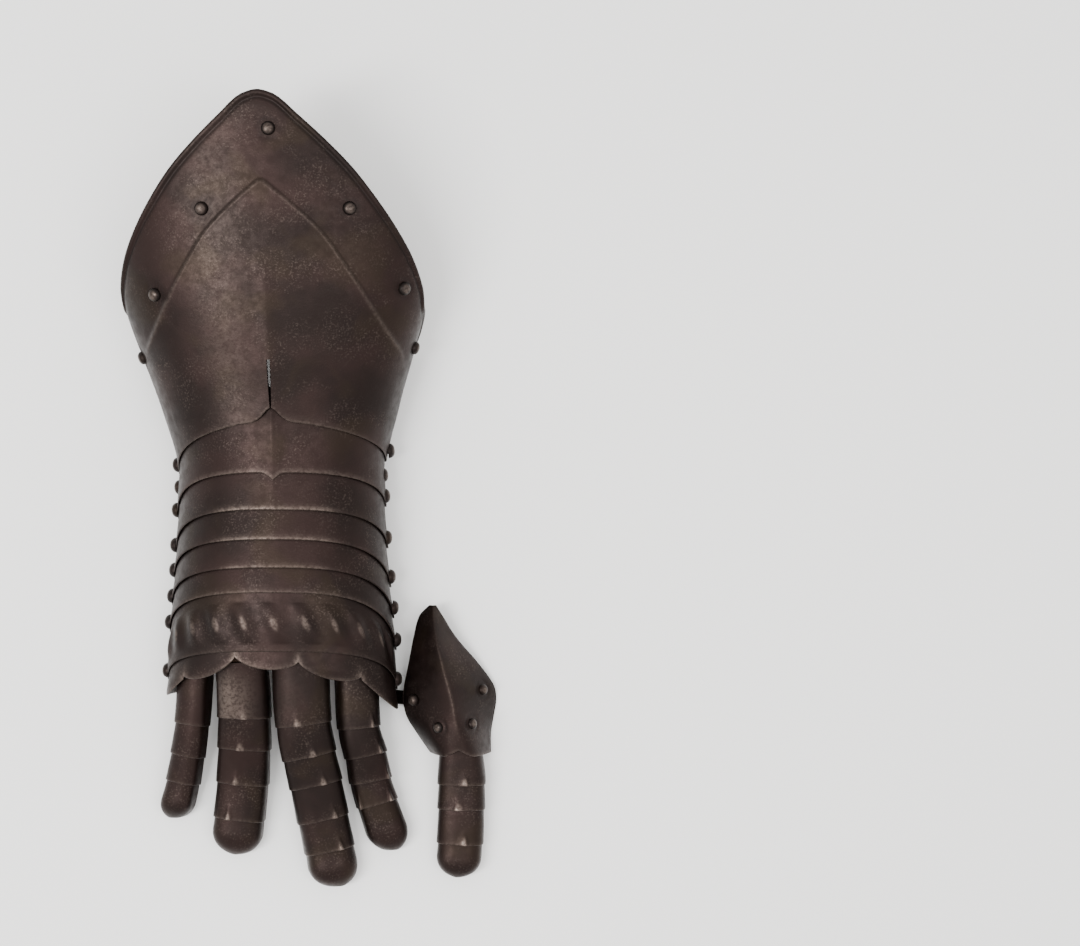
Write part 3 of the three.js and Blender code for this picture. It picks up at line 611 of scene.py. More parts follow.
# ---------------------------------------------------------------- material nodes
def add_node(tree, kind, values=None, links=None, **settings):
    """Adds a node: values set its sockets, links say which outputs feed them."""
    made = tree.nodes.new(kind)
    for key, value in settings.items():
        setattr(made, key, value)
    for socket, value in (values or {}).items():
        made.inputs[socket].default_value = value
    for socket, source in (links or {}).items():
        tree.links.new(source, made.inputs[socket])
    return made


def new_material(name):
    material = bpy.data.materials.get(name) or bpy.data.materials.new(name)
    material.use_nodes = True
    material.node_tree.nodes.clear()
    return material, material.node_tree


def per_metre(size_mm):
    """Texture scale that gives features of a size in millimetres."""
    return 1000 / size_mm


def opaque(colour):
    return (*colour, 1)


def browned_steel(name, base, dark, olive, bare_and_highlight, wear_and_highlight_amount):
    """Wrought steel sheet, hammered, browned with rust and oil, then rubbed by handling.

    The browning is an even, dull chocolate skin with fine pits; light sits on it as a wide
    soft sheen, grainy where the skin is pitted, and edges and high places show steel."""
    material, tree = new_material(name)
    place = add_node(tree, "ShaderNodeTexCoord").outputs["Object"]

    def noise(size_mm, detail, roughness=0.55, distortion=0.0):
        return add_node(
            tree, "ShaderNodeTexNoise", {"Scale": per_metre(size_mm), "Detail": detail,
                                         "Roughness": roughness, "Distortion": distortion},
            {"Vector": place},
        ).outputs["Fac"]

    def spread(source, low, high, to_low=0.0, to_high=1.0):
        return add_node(
            tree, "ShaderNodeMapRange",
            {"From Min": low, "From Max": high, "To Min": to_low, "To Max": to_high},
            {"Value": source}, interpolation_type="SMOOTHSTEP",
        ).outputs["Result"]

    def times(a, b):
        second = {} if isinstance(b, float) else {1: b}
        fixed = {1: b} if isinstance(b, float) else {}
        return add_node(tree, "ShaderNodeMath", fixed, {0: a, **second},
                        operation="MULTIPLY").outputs[0]

    def blend(factor, below, above):
        values = {6: below} if isinstance(below, tuple) else {}
        links = {} if isinstance(below, tuple) else {6: below}
        return add_node(tree, "ShaderNodeMix", {**values, 7: above}, {0: factor, **links},
                        data_type="RGBA").outputs[2]

    clouds = noise(38, 3)
    oily = noise(27, 2, 0.5, 0.4)
    mottle = noise(4.2, 5, 0.62)
    grain = noise(0.9, 2)  # true pits are finer; this is as fine as a picture still shows
    patches = noise(17, 3, 0.6)
    # One attribute carries rubbed bare steel on edges, crests and rivet tops together with painted
    # highlight; the other carries painted shade.
    worn = add_node(tree, "ShaderNodeAttribute", attribute_name="worn").outputs["Fac"]
    painted_shade = add_node(tree, "ShaderNodeAttribute", attribute_name="painted_shade").outputs["Fac"]

    colour = blend(spread(clouds, 0.36, 0.62), opaque(base), opaque(dark))
    colour = blend(times(spread(oily, 0.5, 0.68), 0.55), colour, opaque(olive))
    colour = blend(times(spread(mottle, 0.38, 0.2), 0.5), colour, opaque(dark))
    specks = times(times(spread(grain, 0.5, 0.75), spread(patches, 0.4, 0.68)), 0.22)
    colour = blend(specks, colour, opaque(bare_and_highlight))
    # Bare-steel colour where steel is rubbed, and also where a softbox's reflection is painted in as
    # a highlight.
    rubbed_break = spread(noise(1.6, 3, 0.6), 0.34, 0.6, 0.35, 1.0)
    rubbed = times(times(worn, rubbed_break), float(wear_and_highlight_amount))
    colour = blend(rubbed, colour, opaque(bare_and_highlight))
    # Painted shade: near-black laid into the rim groove, over the rim bead and in the dimples round
    # the rivets.
    colour = blend(times(painted_shade, 0.8), colour, (0.006, 0.004, 0.0035, 1))

    dull = spread(mottle, 0.3, 0.7, 0.40, 0.54)
    rough = add_node(tree, "ShaderNodeMath", {1: -0.14, 2: 0.0}, {0: rubbed, 2: dull},
                     operation="MULTIPLY_ADD").outputs[0]
    skin = add_node(tree, "ShaderNodeMath", {1: 0.35}, {0: mottle, 2: times(grain, 0.5)},
                    operation="MULTIPLY_ADD").outputs[0]
    bump = add_node(tree, "ShaderNodeBump", {"Strength": 0.5, "Distance": 0.00018},
                    {"Height": skin}).outputs["Normal"]
    shader = add_node(
        tree, "ShaderNodeBsdfPrincipled", {"Metallic": 0.8},
        {"Base Color": colour, "Roughness": rough, "Normal": bump},
    )
    add_node(tree, "ShaderNodeOutputMaterial", None, {"Surface": shader.outputs[0]})
    return material


def strap_leather(colour):
    """Vegetable-tanned strap leather, its flesh side out: dull, fibrous, a little uneven."""
    material, tree = new_material("strap_leather")
    place = add_node(tree, "ShaderNodeTexCoord").outputs["Object"]
    fibre = add_node(tree, "ShaderNodeTexNoise",
                     {"Scale": per_metre(1.1), "Detail": 4.0, "Roughness": 0.65},
                     {"Vector": place}).outputs["Fac"]
    stain = add_node(tree, "ShaderNodeTexNoise", {"Scale": per_metre(14), "Detail": 2.0},
                     {"Vector": place}).outputs["Fac"]
    dark = tuple(c * 0.45 for c in colour)
    tone = add_node(tree, "ShaderNodeMix", {6: opaque(dark), 7: opaque(colour)}, {0: stain},
                    data_type="RGBA").outputs[2]
    bump = add_node(tree, "ShaderNodeBump", {"Strength": 0.6, "Distance": 0.0003},
                    {"Height": fibre}).outputs["Normal"]
    shader = add_node(tree, "ShaderNodeBsdfPrincipled", {"Roughness": 0.78},
                      {"Base Color": tone, "Normal": bump})
    add_node(tree, "ShaderNodeOutputMaterial", None, {"Surface": shader.outputs[0]})
    return material


def seamless_paper(colour):
    """Matt white background paper: no gloss, so that it only carries a soft shadow."""
    material, tree = new_material("seamless_paper")
    place = add_node(tree, "ShaderNodeTexCoord").outputs["Object"]
    grain = add_node(tree, "ShaderNodeTexNoise", {"Scale": per_metre(2), "Detail": 2.0},
                     {"Vector": place}).outputs["Fac"]
    bump = add_node(tree, "ShaderNodeBump", {"Strength": 0.05, "Distance": 0.0001},
                    {"Height": grain}).outputs["Normal"]
    shader = add_node(tree, "ShaderNodeBsdfPrincipled",
                      {"Base Color": opaque(colour), "Roughness": 0.9}, {"Normal": bump})
    add_node(tree, "ShaderNodeOutputMaterial", None, {"Surface": shader.outputs[0]})
    return material


def steel():
    return bpy.data.materials["browned_steel"]


def body_with(node):
    """The CAD body that a node belongs to."""
    return frame["nodes"][node]["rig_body"]


# ---------------------------------------------------------------- cuff
def cuff_columns():
    """Sections of the cuff, closer together near the slit, which two of them border."""
    near = np.array([0.012, 0.02, 0.032, 0.048, 0.066, 0.088])
    half = np.concatenate([near, np.linspace(0.11, ARCH_SHARE, 52), np.linspace(0.84, 1, 9)])
    return np.concatenate([-half[::-1], half])


def cuff_relief(s, y, place, sizes):
    """Height over the plain form: the stepped border line and the dimples of the rivets."""
    border = border_y(s)
    slope = np.gradient(border[0], form_point(s[:1], border[:1])[0, :, 0])
    distance = (y - border) / np.sqrt(1 + slope * slope)
    fade = 1 - smooth(BORDER_FOOT - 0.02, BORDER_FOOT + 0.16, np.abs(s))
    height = sizes.border_step / MM
    step = height * (1 - smooth(-0.9, 1.3, distance))
    step *= 1 - smooth(5, 26, -distance)
    crest = 0.3 * height * np.exp(-((distance + 0.9) / 0.9) ** 2)
    relief = fade * (step + crest)
    # A narrow band along the border line's crest, which the cuff lays on as painted highlight.
    line = fade * np.exp(-((distance + 0.5) / 0.8) ** 2)
    ring = np.zeros(y.shape)
    for x, ry in CUFF_RIVETS:
        rs = section_at(form_point, x + HAND_X, ry)
        centre = form_point(rs, np.asarray(float(ry)))
        r = np.linalg.norm(place - centre, axis=-1)
        ring = np.maximum(ring, np.exp(-((r - 4.4) / 0.9) ** 2))
    return relief - 0.35 * ring, line, ring


def build_cuff(sizes):
    sheet = sizes.sheet / MM
    s = cuff_columns()
    middle = len(s) // 2
    hand, rim, border = lower_edge(0, s), rim_y(s), border_y(s)
    # The slit's inner end is one of the rows, so that its cells open exactly there.
    slit_share = (SLIT["inner"] - hand[middle]) / (border[middle] - 9 - hand[middle])
    back, loss = rounded_edge(sheet)
    low = hand + back
    shares = np.sort(np.append(np.linspace(0.02, 0.98, 30), slit_share))[:, None]
    body = mix(hand, border - 9, shares)
    around = border + np.array([-9, -6, -4, -3, -2.2, -1.5, -0.9, -0.3, 0.3, 0.9, 1.5, 2.2,
                                3.2, 4.6, 6.5])[:, None]
    x_rim = form_point(s, rim)
    run = np.gradient(rim) / np.maximum(np.linalg.norm(
        np.gradient(x_rim[:, [0, 2]], axis=0), axis=-1), 1e-6)
    stretch = np.sqrt(1 + np.minimum(np.abs(run), 2.0) ** 2)
    bead_back = np.array([7, 5.2, 4.2, 3.7, 3.2, 2.8, 2.4, 1.9, 1.3, 0.8, 0.4, 0.15, 0])[:, None]
    beads = rim - bead_back * stretch
    over = mix(around[-1], beads[0], np.linspace(0, 1, 16)[1:-1][:, None])
    y = np.concatenate([low, body, around, over, beads])
    rows = len(y)
    grid = np.broadcast_to(s, y.shape).copy()
    # The two middle sections follow the slit, which narrows towards the hand.
    open_rows = y[:, middle] <= SLIT["inner"] + 0.01
    width = mix(SLIT["narrow"], SLIT["width"], np.clip(
        (y[:, middle] - hand[middle]) / (SLIT["inner"] - hand[middle]) * 2, 0, 1)) / 2
    half_s = width / (52 * math.pi / 2 / ARCH_SHARE)
    half_s = np.where(open_rows, half_s, half_s[open_rows][-1])
    grid[:, middle - 1], grid[:, middle] = -half_s, half_s
    solid = np.ones((rows - 1, len(s) - 1), bool)
    solid[:, middle - 1] = y[:-1, middle] > SLIT["inner"] - 0.5
    place = form_point(grid, y)
    relief, line, ring = cuff_relief(grid, y, place, sizes)
    bead = np.zeros(rows)
    bead[-13:] = np.sqrt(np.maximum(0, 1 - (bead_back[:, 0] / BEAD["width"] * 2 - 1) ** 2))
    groove = np.zeros(rows)
    groove[-13:] = np.exp(-((bead_back[:, 0] - 3.5) / 0.6) ** 2)
    cut = np.zeros(rows)
    cut[:4] = loss[:, 0]
    bead, groove, cut = bead[:, None], groove[:, None], cut[:, None]
    clear = 1 - smooth(-0.1, 0.03, np.abs(grid) - 0.97)
    out = relief * clear + BEAD["out"] * bead - BEAD["groove"] * groove - cut
    deep = sheet * filed(y - hand) + BEAD["inward"] * bead - 0.4 * cut - relief * clear
    distance = y - hand
    shine = edge_wear(distance, 0.55, 0.7) * (1 - 0.6 * smooth(20, 50, np.abs(sideways(grid))))
    # Painted highlight: a soft bare-steel band left of the cuff's middle, where the key softbox's
    # reflection falls.
    painted_highlight = 0.10 * np.exp(-((grid + 0.16) / 0.1) ** 2)
    # The border line's band adds painted highlight along its crest.
    worn = np.maximum(np.maximum(shine, 0.2 * line), painted_highlight)
    # Painted shade in the rim groove, over the rim bead and in the dimples round the rivets.
    painted_shade = np.maximum(np.maximum(0.75 * groove, 0.35 * bead), 0.45 * ring)
    piece = sheet_object("cuff_shell", form_point, grid, y, out, deep, True, solid, worn,
                         painted_shade, sizes.hammering / MM, 3)
    finish_piece(piece, body_with("cuff"), ["cuff"], steel())
    build_surface_rivets("cuff_rivet", form_point, CUFF_RIVETS, sizes.cuff_rivet_radius / MM,
                         body_with("cuff"), 0.55)


def build_surface_rivets(name, point, places, radius, body, worn):
    """Domed rivets whose heads sit on a plate, square to it."""
    for number, (x, y) in enumerate(places, 1):
        y = np.asarray(float(y))
        s = section_at(point, x + HAND_X, y)
        normal = normal_of(point, s, y)
        profile = [(0.62 * radius, -0.7), (radius, -0.45), *dome_profile(radius, 0.74 * radius, 0)]
        heights = np.array([h for _, h in profile])
        wear_and_highlight_amount = worn * smooth(0.45, 0.74, heights / radius)
        piece = lathe(f"{name}_{number}", profile, point(s, y), normal, wear_and_highlight_amount)
        finish_piece(piece, body, (), bpy.data.materials["browned_rivet"])


# ---------------------------------------------------------------- hand plates
def hand_columns(count):
    half = np.concatenate([np.linspace(0, ARCH_SHARE, count), np.linspace(ARCH_SHARE, 1, 9)[1:]])
    return np.concatenate([-half[:0:-1], half])


def flute_height(s, y, sizes):
    """Raised slanting flutes across the part of the knuckle plate that shows."""
    low, high = plain_edge(6, s), plain_edge(5, s)
    v = ((y - low) / (high - low) - FLUTE_BAND["low"]) / (FLUTE_BAND["high"] - FLUTE_BAND["low"])
    inside = (v > 0) & (v < 1)
    v = np.clip(v, 0, 1)
    fade = 1 - smooth(FLUTE_BAND["share"] - 0.05, FLUTE_BAND["share"], np.abs(s))
    turn = sizes.flute_count / 2 * s + sizes.flute_slant * (v - 0.5)
    rib = np.abs(np.cos(math.pi * turn)) ** 2.2
    return np.where(inside, fade * sizes.flute_height / MM * rib * np.sin(math.pi * v) ** 0.8, 0)


def build_plate(i, sizes):
    """Plate i of the row over the wrist and the back of the hand."""
    sheet = sizes.sheet / MM
    scalloped, knuckles = i == len(PLATES), i == len(PLATES) - 1
    s = hand_columns(150 if knuckles or scalloped else 70)
    edge, covered = lower_edge(i, s), plain_edge(i - 1, s)
    hidden = covered + mix(PLATES[i - 1]["tail"], 2 * EAR, s * s)
    steps = 44 if knuckles else 12
    start = edge + 0.5 * sheet
    shown = mix(start, covered, np.linspace(0, 1, steps)[1:, None])
    tail = mix(covered, hidden, np.linspace(0, 1, 7)[1:, None])
    y, loss, distance = rows_from(edge, sheet, np.concatenate([shown, tail]))
    s = np.broadcast_to(s, y.shape)
    depth = plate_depth(i, s, y, sheet)
    raised = flute_height(s, y, sizes) if knuckles else 0 * y
    out = raised - depth - loss
    deep = depth + sheet * filed(distance) - raised - 0.4 * loss
    if scalloped:
        name, settings = "finger_root_plate", {"worn": 0.5, "reach": 60}
    else:
        name, settings = PLATES[i]["name"], PLATES[i]
    x = sideways(s)
    along_edge = 1 - smooth(0.75 * settings["reach"], 1.15 * settings["reach"], np.abs(x))
    worn = edge_wear(distance, settings["worn"]) * mix(0.12, 1, along_edge)
    if knuckles:
        worn = np.maximum(worn, 0.4 * smooth(0.8, 1.0, raised / (sizes.flute_height / MM)))
    if scalloped:
        cusp = np.min(np.abs(x[..., None] * 57 / 52 - SCALLOPS[1:-1, 0]), axis=-1)
        worn = np.maximum(worn, edge_wear(distance, 1.0, 2.2) * np.exp(-(cusp / 2.6) ** 2))
    piece = sheet_object(f"{name}_shell", form_point, s, y, out, deep, True, None, worn, None,
                         0.6 * sizes.hammering / MM, 10 + i)
    finish_piece(piece, body_with(name), [name], steel())


# ---------------------------------------------------------------- pivots
def rivet_line(node, axis):
    """Middle of a turned CAD node, and its lowest and highest place along an axis."""
    points = np.array([v.co for v in frame["nodes"][node].data.vertices]) / MM
    centre = points.mean(0)
    heights = (points - centre) @ axis
    return centre, heights.min(), heights.max()


def build_pivot(node, axis, radius, height, sunk=0.0):
    """A domed rivet with its shank and its peened inner end, in the place of a CAD one."""
    centre, bottom, top = rivet_line(node, axis)
    seat = top - height
    seat -= sunk
    top -= sunk
    burr, shank = 0.63 * radius, 0.4 * radius
    profile = [
        (0.5 * burr, bottom), (0.9 * burr, bottom + 0.15), (burr, bottom + 0.45),
        (0.95 * burr, bottom + 0.85), (shank, bottom + 0.9), (shank, seat), (0.97 * radius, seat),
        *dome_profile(radius, height, seat + 0.02),
    ]
    profile[-1] = (profile[-1][0], top)
    wear_and_highlight_amount = 0.5 * smooth(0.55, 1.0, (np.array([h for _, h in profile]) - seat) / height)
    piece = lathe(f"{node}_dome", profile, centre - CENTRE_SHIFT, axis, wear_and_highlight_amount)
    finish_piece(piece, body_with(node), [node],
                 bpy.data.materials["browned_rivet"])


def build_pivots(sizes):
    """Every pair shares one axis, the line between the middles of its two rivets."""
    pairs = [f"pivot_{k}" for k in range(1, len(PLATES) + 1)] + ["wrist_rivet"]
    for pair in pairs:
        left, right = (sum(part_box(f"{pair}_{side}"), Vector()) / 2 for side in ("left", "right"))
        axis = np.array((right - left).normalized())
        for side, direction in (("left", -axis), ("right", axis)):
            radius = sizes.rivet_radius / MM
            build_pivot(f"{pair}_{side}", direction, radius, 0.827 * radius, HEAD_SUNK[side])
    thumb = next(j for j in frame["joints"] if j["name"] == "thumb_pivot")
    axis = np.array(Vector(thumb["axis"]).normalized())
    build_pivot("thumb_pivot_rivet", axis * math.copysign(1, axis[2]), 2.9, 2.4)


# ---------------------------------------------------------------- fingers and thumb
def lame_depth(edges, k, y, sheet):
    """Depth of lame k below its digit's form: each slips under the one above it."""
    if k == 0:
        return 0 * y
    step = LAME_STEP
    edge = edges[k - 1]
    own = edges[k] if k < len(edges) else edges[k - 1] - TIP_LAP
    shown = step * np.clip((y - own) / (edge - own), 0, 1)
    return np.where(y >= edge, step + lame_depth(edges, k - 1, y, sheet), shown)


def crease_relief(s, distance, places, length=8.0, half=0.12):
    """Raised pleats that start narrow on a lame and widen to its edge, from 0 to 1."""
    end = np.clip(1 - distance / length, 0, 1)
    raised = 0 * distance
    for place in places:
        t = np.clip(np.abs(s - place) / (half * mix(0.35, 1, end)), 0, 1)
        raised = np.maximum(raised, (1 + np.cos(math.pi * t)) / 2 * end)
    return raised


def digit_columns(creases):
    base = np.concatenate([np.linspace(-1, -DIGIT_ARCH_SHARE, 7)[:-1],
                           np.linspace(-DIGIT_ARCH_SHARE, DIGIT_ARCH_SHARE, 45),
                           np.linspace(DIGIT_ARCH_SHARE, 1, 7)[1:]])
    extra = [np.linspace(c - 0.13, c + 0.13, 15) for c in creases]
    joined = np.sort(np.concatenate([base, *extra]))
    keep = np.concatenate([[True], np.diff(joined) > 0.006])
    keep[-1] = True
    return joined[keep]


def build_digit(name, digit, first_top, first_depth, root_painted_highlight, sizes):
    """Lames, tip and leather strip of one finger or the thumb."""
    sheet = sizes.small_sheet / MM
    point = digit_point(digit)
    edges, tip = digit["edges"], digit["tip"]
    for k in range(len(edges) + 1):
        last = k == len(edges)
        node = f"{name}_tip" if last else f"{name}_lame_{k + 1}"
        creases = () if last else digit["creases"][k]
        s = digit_columns(creases)
        top = first_top if k == 0 else edges[k - 1] + LAME_TAIL
        lower = tip if last else edges[k]
        if last:
            # Rows crowd towards the tip, where the form closes.
            shares = 1 - np.cos(np.linspace(0, math.pi / 2, 22))
            y = np.concatenate([mix(tip + 0.004, edges[-1], shares)[:-1],
                                np.linspace(edges[-1], top, 5)])[:, None] + 0 * s
            loss, distance = 0 * y, 50 + 0 * y
        else:
            steps = np.linspace(lower + 0.5 * sheet, top, 26)[1:, None] + 0 * s
            y, loss, distance = rows_from(lower + 0 * s, sheet, steps)
        grid = np.broadcast_to(s, y.shape)
        depth = lame_depth(edges, k, y, sheet) + first_depth
        pleat = crease_relief(grid, distance, creases)
        raised = sizes.crease_height / MM * pleat
        worn = edge_wear(distance, 0.38, 0.6) * (1 - 0.7 * smooth(0.5, 0.9, np.abs(grid)))
        worn = np.maximum(worn, 0.95 * smooth(0.35, 0.95, pleat))
        if k == 0:
            # Painted highlight: a patch left of the digit's middle on its first lame, where the key
            # softbox's reflection falls; strongest on the ring finger.
            painted_highlight = np.exp(-((grid + 0.25) / 0.32) ** 2) * (1 - smooth(first_top - 16, first_top, y))
            worn = np.maximum(worn, root_painted_highlight * painted_highlight)
        piece = sheet_object(f"{node}_shell", point, grid, y, raised - depth - loss,
                             depth + sheet * mix(0.5, 1, np.clip(distance / 9, 0, 1)) - raised
                             - 0.4 * loss, False, None, worn, None,
                             0.7 * sizes.hammering / MM, 40 + k, tip)
        finish_piece(piece, body_with(node), [node], steel())
    y = np.linspace(tip + 12, first_top + STRIP["up"], 50)[:, None]
    s = np.linspace(-STRIP["half"], STRIP["half"], 13)
    under = STRIP["depth"] + first_depth
    rounding = 0.35 * (np.abs(s) / STRIP["half"]) ** 6
    piece = sheet_object(f"{name}_strip", point, s, y, -under - rounding,
                         under + STRIP["thick"] - rounding)
    finish_piece(piece, body_with(f"{name}_leather"), [f"{name}_leather"],
                 bpy.data.materials["strap_leather"])


def thumb_pivot_frame():
    """Place of the thumb's pivot on the diamond plate, and the plate's normal there."""
    y = np.asarray(float(THUMB_PIVOT["y"]))
    s = section_at(diamond_point, THUMB_PIVOT["x"] + HAND_X, y)
    return diamond_point(s, y), normal_of(diamond_point, s, y)


def build_thumb_plate(sizes):
    sheet = sizes.small_sheet / MM
    top, bottom = DIAMOND["y"][-1], DIAMOND["y"][0]
    half = np.concatenate([np.linspace(0, 0.12, 9), np.linspace(0.12, 0.94, 34)[1:],
                           [0.965, 0.982, 0.993, 1.0]])
    s = np.concatenate([-half[:0:-1], half])
    lower = bottom + 3.5 * np.maximum(0, 1 - np.abs(s) / 0.5) ** 1.3
    steps = mix(lower + 0.5 * sheet, top, np.linspace(0, 1, 62)[1:, None])
    y, loss, distance = rows_from(lower, sheet, steps)
    grid = np.broadcast_to(s, y.shape)
    place = diamond_point(grid, y)
    ring = 0 * y
    for x, ry in DIAMOND_RIVETS:
        rs = section_at(diamond_point, x + HAND_X, ry)
        r = np.linalg.norm(place - diamond_point(rs, np.asarray(float(ry))), axis=-1)
        ring = np.maximum(ring, np.exp(-((r - 4.2) / 0.8) ** 2))
    side = np.clip((1 - np.abs(grid)) / 0.035, 0, 1)
    turn = 0.32 * sheet * (1 - np.sqrt(1 - (1 - side) ** 2))
    ridge_wear = 0.22 * np.exp(-(np.abs(grid) / 0.035) ** 2) * smooth(-121, -100, y)
    ridge_wear *= 1 - smooth(-82, -66, y)
    worn = np.maximum(edge_wear(distance, 0.45, 0.6), ridge_wear)
    # The last share given, 0.4 of the rivet rings, is painted shade in the dimples round the rivets.
    piece = sheet_object("thumb_plate_shell", diamond_point, grid, y,
                         -loss - (0.32 * sheet - turn) * (side < 1) * (1 - side) - 0.3 * ring,
                         sheet - loss + 0.3 * ring * 0, False, None, worn, 0.4 * ring,
                         0.5 * sizes.hammering / MM, 70)
    finish_piece(piece, body_with("thumb_plate"), ["thumb_plate"], steel())
    build_surface_rivets("thumb_rivet", diamond_point, DIAMOND_RIVETS, 2.7,
                         body_with("thumb_plate"), 0.6)


def build_thumb_tab(sizes):
    """Rounded tab of the scalloped plate that carries the thumb's pivot."""
    sheet = sizes.sheet / MM
    place, normal = thumb_pivot_frame()
    turn = np.array(Vector((0, 0, 1)).rotation_difference(Vector(normal)).to_matrix())
    origin = place - normal * (sizes.small_sheet / MM + LUG["gap"])
    angles = np.linspace(-math.pi / 2, math.pi / 2, 25)
    nose = LUG["reach"] - LUG["half"]
    rim = [(nose + LUG["half"] * math.cos(a), LUG["half"] * math.sin(a)) for a in angles]
    outline = [(-LUG["inner"], -LUG["half"]), *rim, (-LUG["inner"], LUG["half"])]
    layers = [(0.2, 0), (0, -0.2), (0, 0.2 - sheet), (0.2, -sheet)]
    points = []
    for inset, z in layers:
        share = 1 - inset / LUG["half"]
        points += [(x if x < nose else nose + (x - nose) * share, v * share, z)
                   for x, v in outline]
    count = len(outline)
    faces = [tuple(range(count)), tuple(reversed(range(3 * count, 4 * count)))]
    for layer in range(3):
        for j in range(count):
            a, b = layer * count + j, layer * count + (j + 1) % count
            faces.append((a, a + count, b + count, b))
    piece = new_object("thumb_tab", np.array(points) @ turn.T + origin, faces)
    finish_piece(piece, body_with("finger_root_plate"), (), steel())


# ---------------------------------------------------------------- stage
def add_light(name, place, aim, size, power):
    """A softbox that faces a point of the object."""
    data = bpy.data.lights.new(name, "AREA")
    data.shape, data.energy = "RECTANGLE", power
    data.size, data.size_y = size
    light = bpy.data.objects.new(name, data)
    light.location = place
    light.rotation_euler = (Vector(aim) - Vector(place)).to_track_quat("-Z", "Y").to_euler()
    bpy.context.scene.collection.objects.link(light)
    return light


# ---------------------------------------------------------------- operators
class GauntletOperator:
    """What every step shares: it can be undone, and it reads the settings of the scene."""

    bl_options = {"REGISTER", "UNDO"}


class GAUNTLET_OT_finishes(GauntletOperator, bpy.types.Operator):
    """Makes the browned steel, the rivet iron and the strap leather"""

    bl_idname = "gauntlet.finishes"
    bl_label = "Finishes"

    def execute(self, context):
        c = context.scene.gauntlet_colours
        browned_steel("browned_steel", c.patina, c.patina_dark, c.patina_olive, c.bare_steel_and_highlight, 0.9)
        browned_steel("browned_rivet", c.rivet, c.patina_dark, c.patina_olive, c.bare_steel_and_highlight, 0.8)
        strap_leather(c.leather)
        return {"FINISHED"}


class GAUNTLET_OT_cuff(GauntletOperator, bpy.types.Operator):
    """Builds the pointed cuff with its turned rim, stepped border line and rivets"""

    bl_idname = "gauntlet.cuff"
    bl_label = "Cuff"

    def execute(self, context):
        build_cuff(context.scene.gauntlet_sizes)
        return {"FINISHED"}


class GAUNTLET_OT_plates(GauntletOperator, bpy.types.Operator):
    """Builds the plates from the wrist to the finger roots"""

    bl_idname = "gauntlet.plates"
    bl_label = "Hand plates"

    def execute(self, context):
        for i in range(1, len(PLATES) + 1):
            build_plate(i, context.scene.gauntlet_sizes)
        build_thumb_tab(context.scene.gauntlet_sizes)
        return {"FINISHED"}


class GAUNTLET_OT_pivots(GauntletOperator, bpy.types.Operator):
    """Builds the domed rivets that the plates turn on"""

    bl_idname = "gauntlet.pivots"
    bl_label = "Pivot rivets"

    def execute(self, context):
        build_pivots(context.scene.gauntlet_sizes)
        return {"FINISHED"}


class GAUNTLET_OT_fingers(GauntletOperator, bpy.types.Operator):
    """Builds the lames, tips and leather strips of the four fingers"""

    bl_idname = "gauntlet.fingers"
    bl_label = "Fingers"

    def execute(self, context):
        # How strong the painted highlight on each finger's first lame is.
        root_painted_highlight = {"little": 0.0, "ring": 0.55, "middle": 0.05, "index": 0.05}
        for name, wear_and_highlight_amount in root_painted_highlight.items():
            build_digit(name, DIGITS[name], FINGER_TOP, 0, wear_and_highlight_amount, context.scene.gauntlet_sizes)
        return {"FINISHED"}


class GAUNTLET_OT_thumb(GauntletOperator, bpy.types.Operator):
    """Builds the thumb's diamond plate, lames, tip and leather strip"""

    bl_idname = "gauntlet.thumb"
    bl_label = "Thumb"

    def execute(self, context):
        sizes = context.scene.gauntlet_sizes
        build_thumb_plate(sizes)
        build_digit("thumb", DIGITS["thumb"], DIAMOND["y"][0] + 9, 1.2, 0.0, sizes)
        return {"FINISHED"}


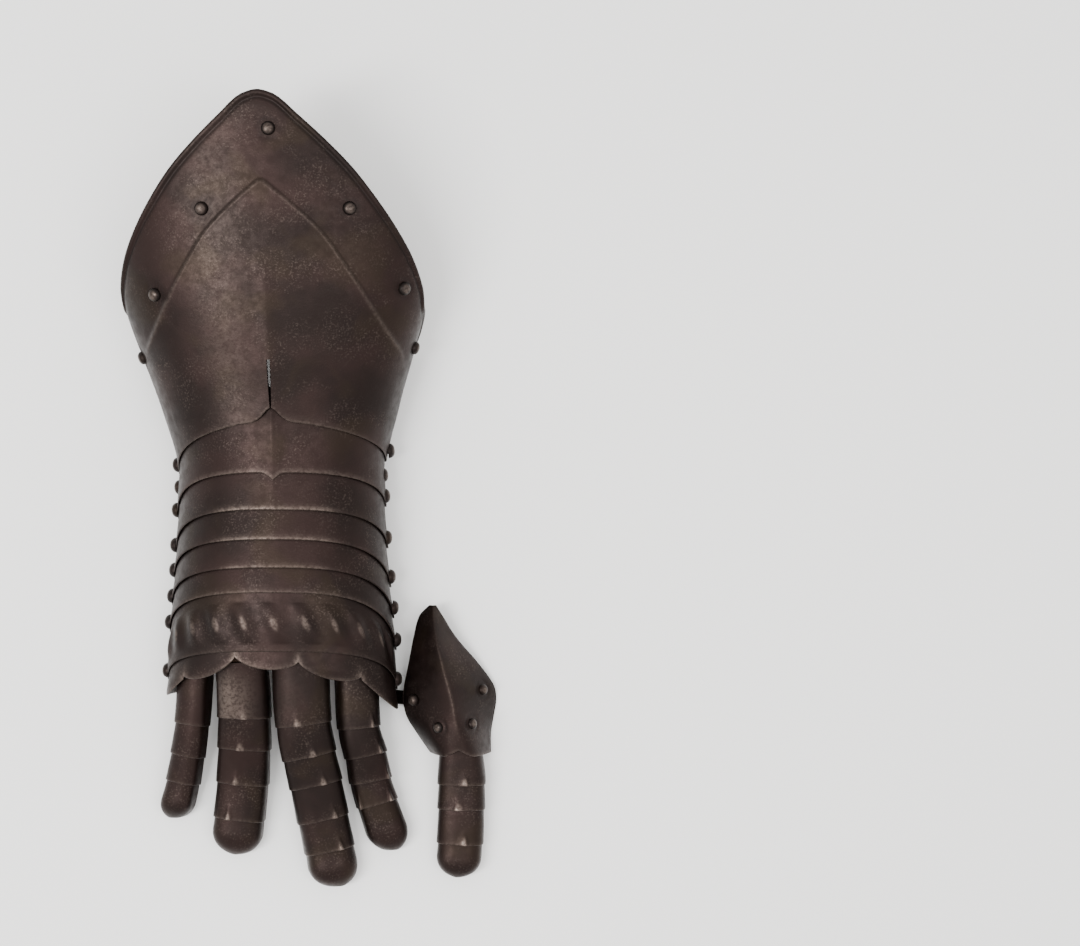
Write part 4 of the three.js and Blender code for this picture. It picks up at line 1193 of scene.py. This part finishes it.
class GAUNTLET_OT_stage(GauntletOperator, bpy.types.Operator):
    """Sets the paper, the lights and the camera straight above the gauntlet"""

    bl_idname = "gauntlet.stage"
    bl_label = "Stage"

    def execute(self, context):
        scene = context.scene
        mesh = bpy.data.meshes.new("paper_floor")
        reach = 6.0
        corners = [(-reach, -reach, 0), (reach, -reach, 0), (reach, reach, 0), (-reach, reach, 0)]
        mesh.from_pydata(corners, [], [(0, 1, 2, 3)])
        floor = bpy.data.objects.new("paper_floor", mesh)
        mesh.materials.append(seamless_paper(scene.gauntlet_colours.floor))
        scene.collection.objects.link(floor)

        world = bpy.data.worlds.new("studio")
        scene.world = world
        world.use_nodes = True
        tree = world.node_tree
        tree.nodes.clear()
        glow = add_node(tree, "ShaderNodeBackground", {"Color": (1, 1, 1, 1), "Strength": 1.6})
        add_node(tree, "ShaderNodeOutputWorld", None, {"Surface": glow.outputs[0]})
        add_light("key_softbox", (-0.6, -0.16, 1.3), (-0.02, -0.02, 0.04), (0.26, 0.85), 19)
        add_light("fill_softbox", (0.5, -0.12, 1.35), (0, -0.02, 0.04), (0.26, 0.85), 7)

        lens = bpy.data.cameras.new("camera")
        lens.sensor_width, lens.lens = 36, 73.3
        camera = bpy.data.objects.new("camera", lens)
        camera.location = (0.112, 0.0136, 1.1)
        scene.collection.objects.link(camera)
        scene.camera = camera
        return {"FINISHED"}


class GAUNTLET_PT_panel(bpy.types.Panel):
    """Lists the gauntlet's settings and the steps that build it"""

    bl_label = "Gauntlet"
    bl_idname = "GAUNTLET_PT_panel"
    bl_space_type = "VIEW_3D"
    bl_region_type = "UI"
    bl_category = "Gauntlet"

    def draw(self, context):
        for group in (context.scene.gauntlet_sizes, context.scene.gauntlet_colours):
            box = self.layout.box()
            for name in group.__annotations__:
                box.prop(group, name)
        for step in STEPS:
            self.layout.operator(step.bl_idname)


STEPS = (
    GAUNTLET_OT_finishes, GAUNTLET_OT_cuff, GAUNTLET_OT_plates, GAUNTLET_OT_pivots,
    GAUNTLET_OT_fingers, GAUNTLET_OT_thumb, GAUNTLET_OT_stage,
)
CLASSES = (GauntletSizes, GauntletColours, *STEPS, GAUNTLET_PT_panel)


def register():
    for cls in CLASSES:
        bpy.utils.register_class(cls)
    bpy.types.Scene.gauntlet_sizes = PointerProperty(type=GauntletSizes)
    bpy.types.Scene.gauntlet_colours = PointerProperty(type=GauntletColours)


def unregister():
    del bpy.types.Scene.gauntlet_colours
    del bpy.types.Scene.gauntlet_sizes
    for cls in reversed(CLASSES):
        bpy.utils.unregister_class(cls)


def main():
    register()
    bpy.ops.gauntlet.finishes()
    bpy.ops.gauntlet.cuff()
    bpy.ops.gauntlet.plates()
    bpy.ops.gauntlet.pivots()
    bpy.ops.gauntlet.fingers()
    bpy.ops.gauntlet.thumb()
    bpy.ops.gauntlet.stage()


if __name__ == "__main__":
    main()
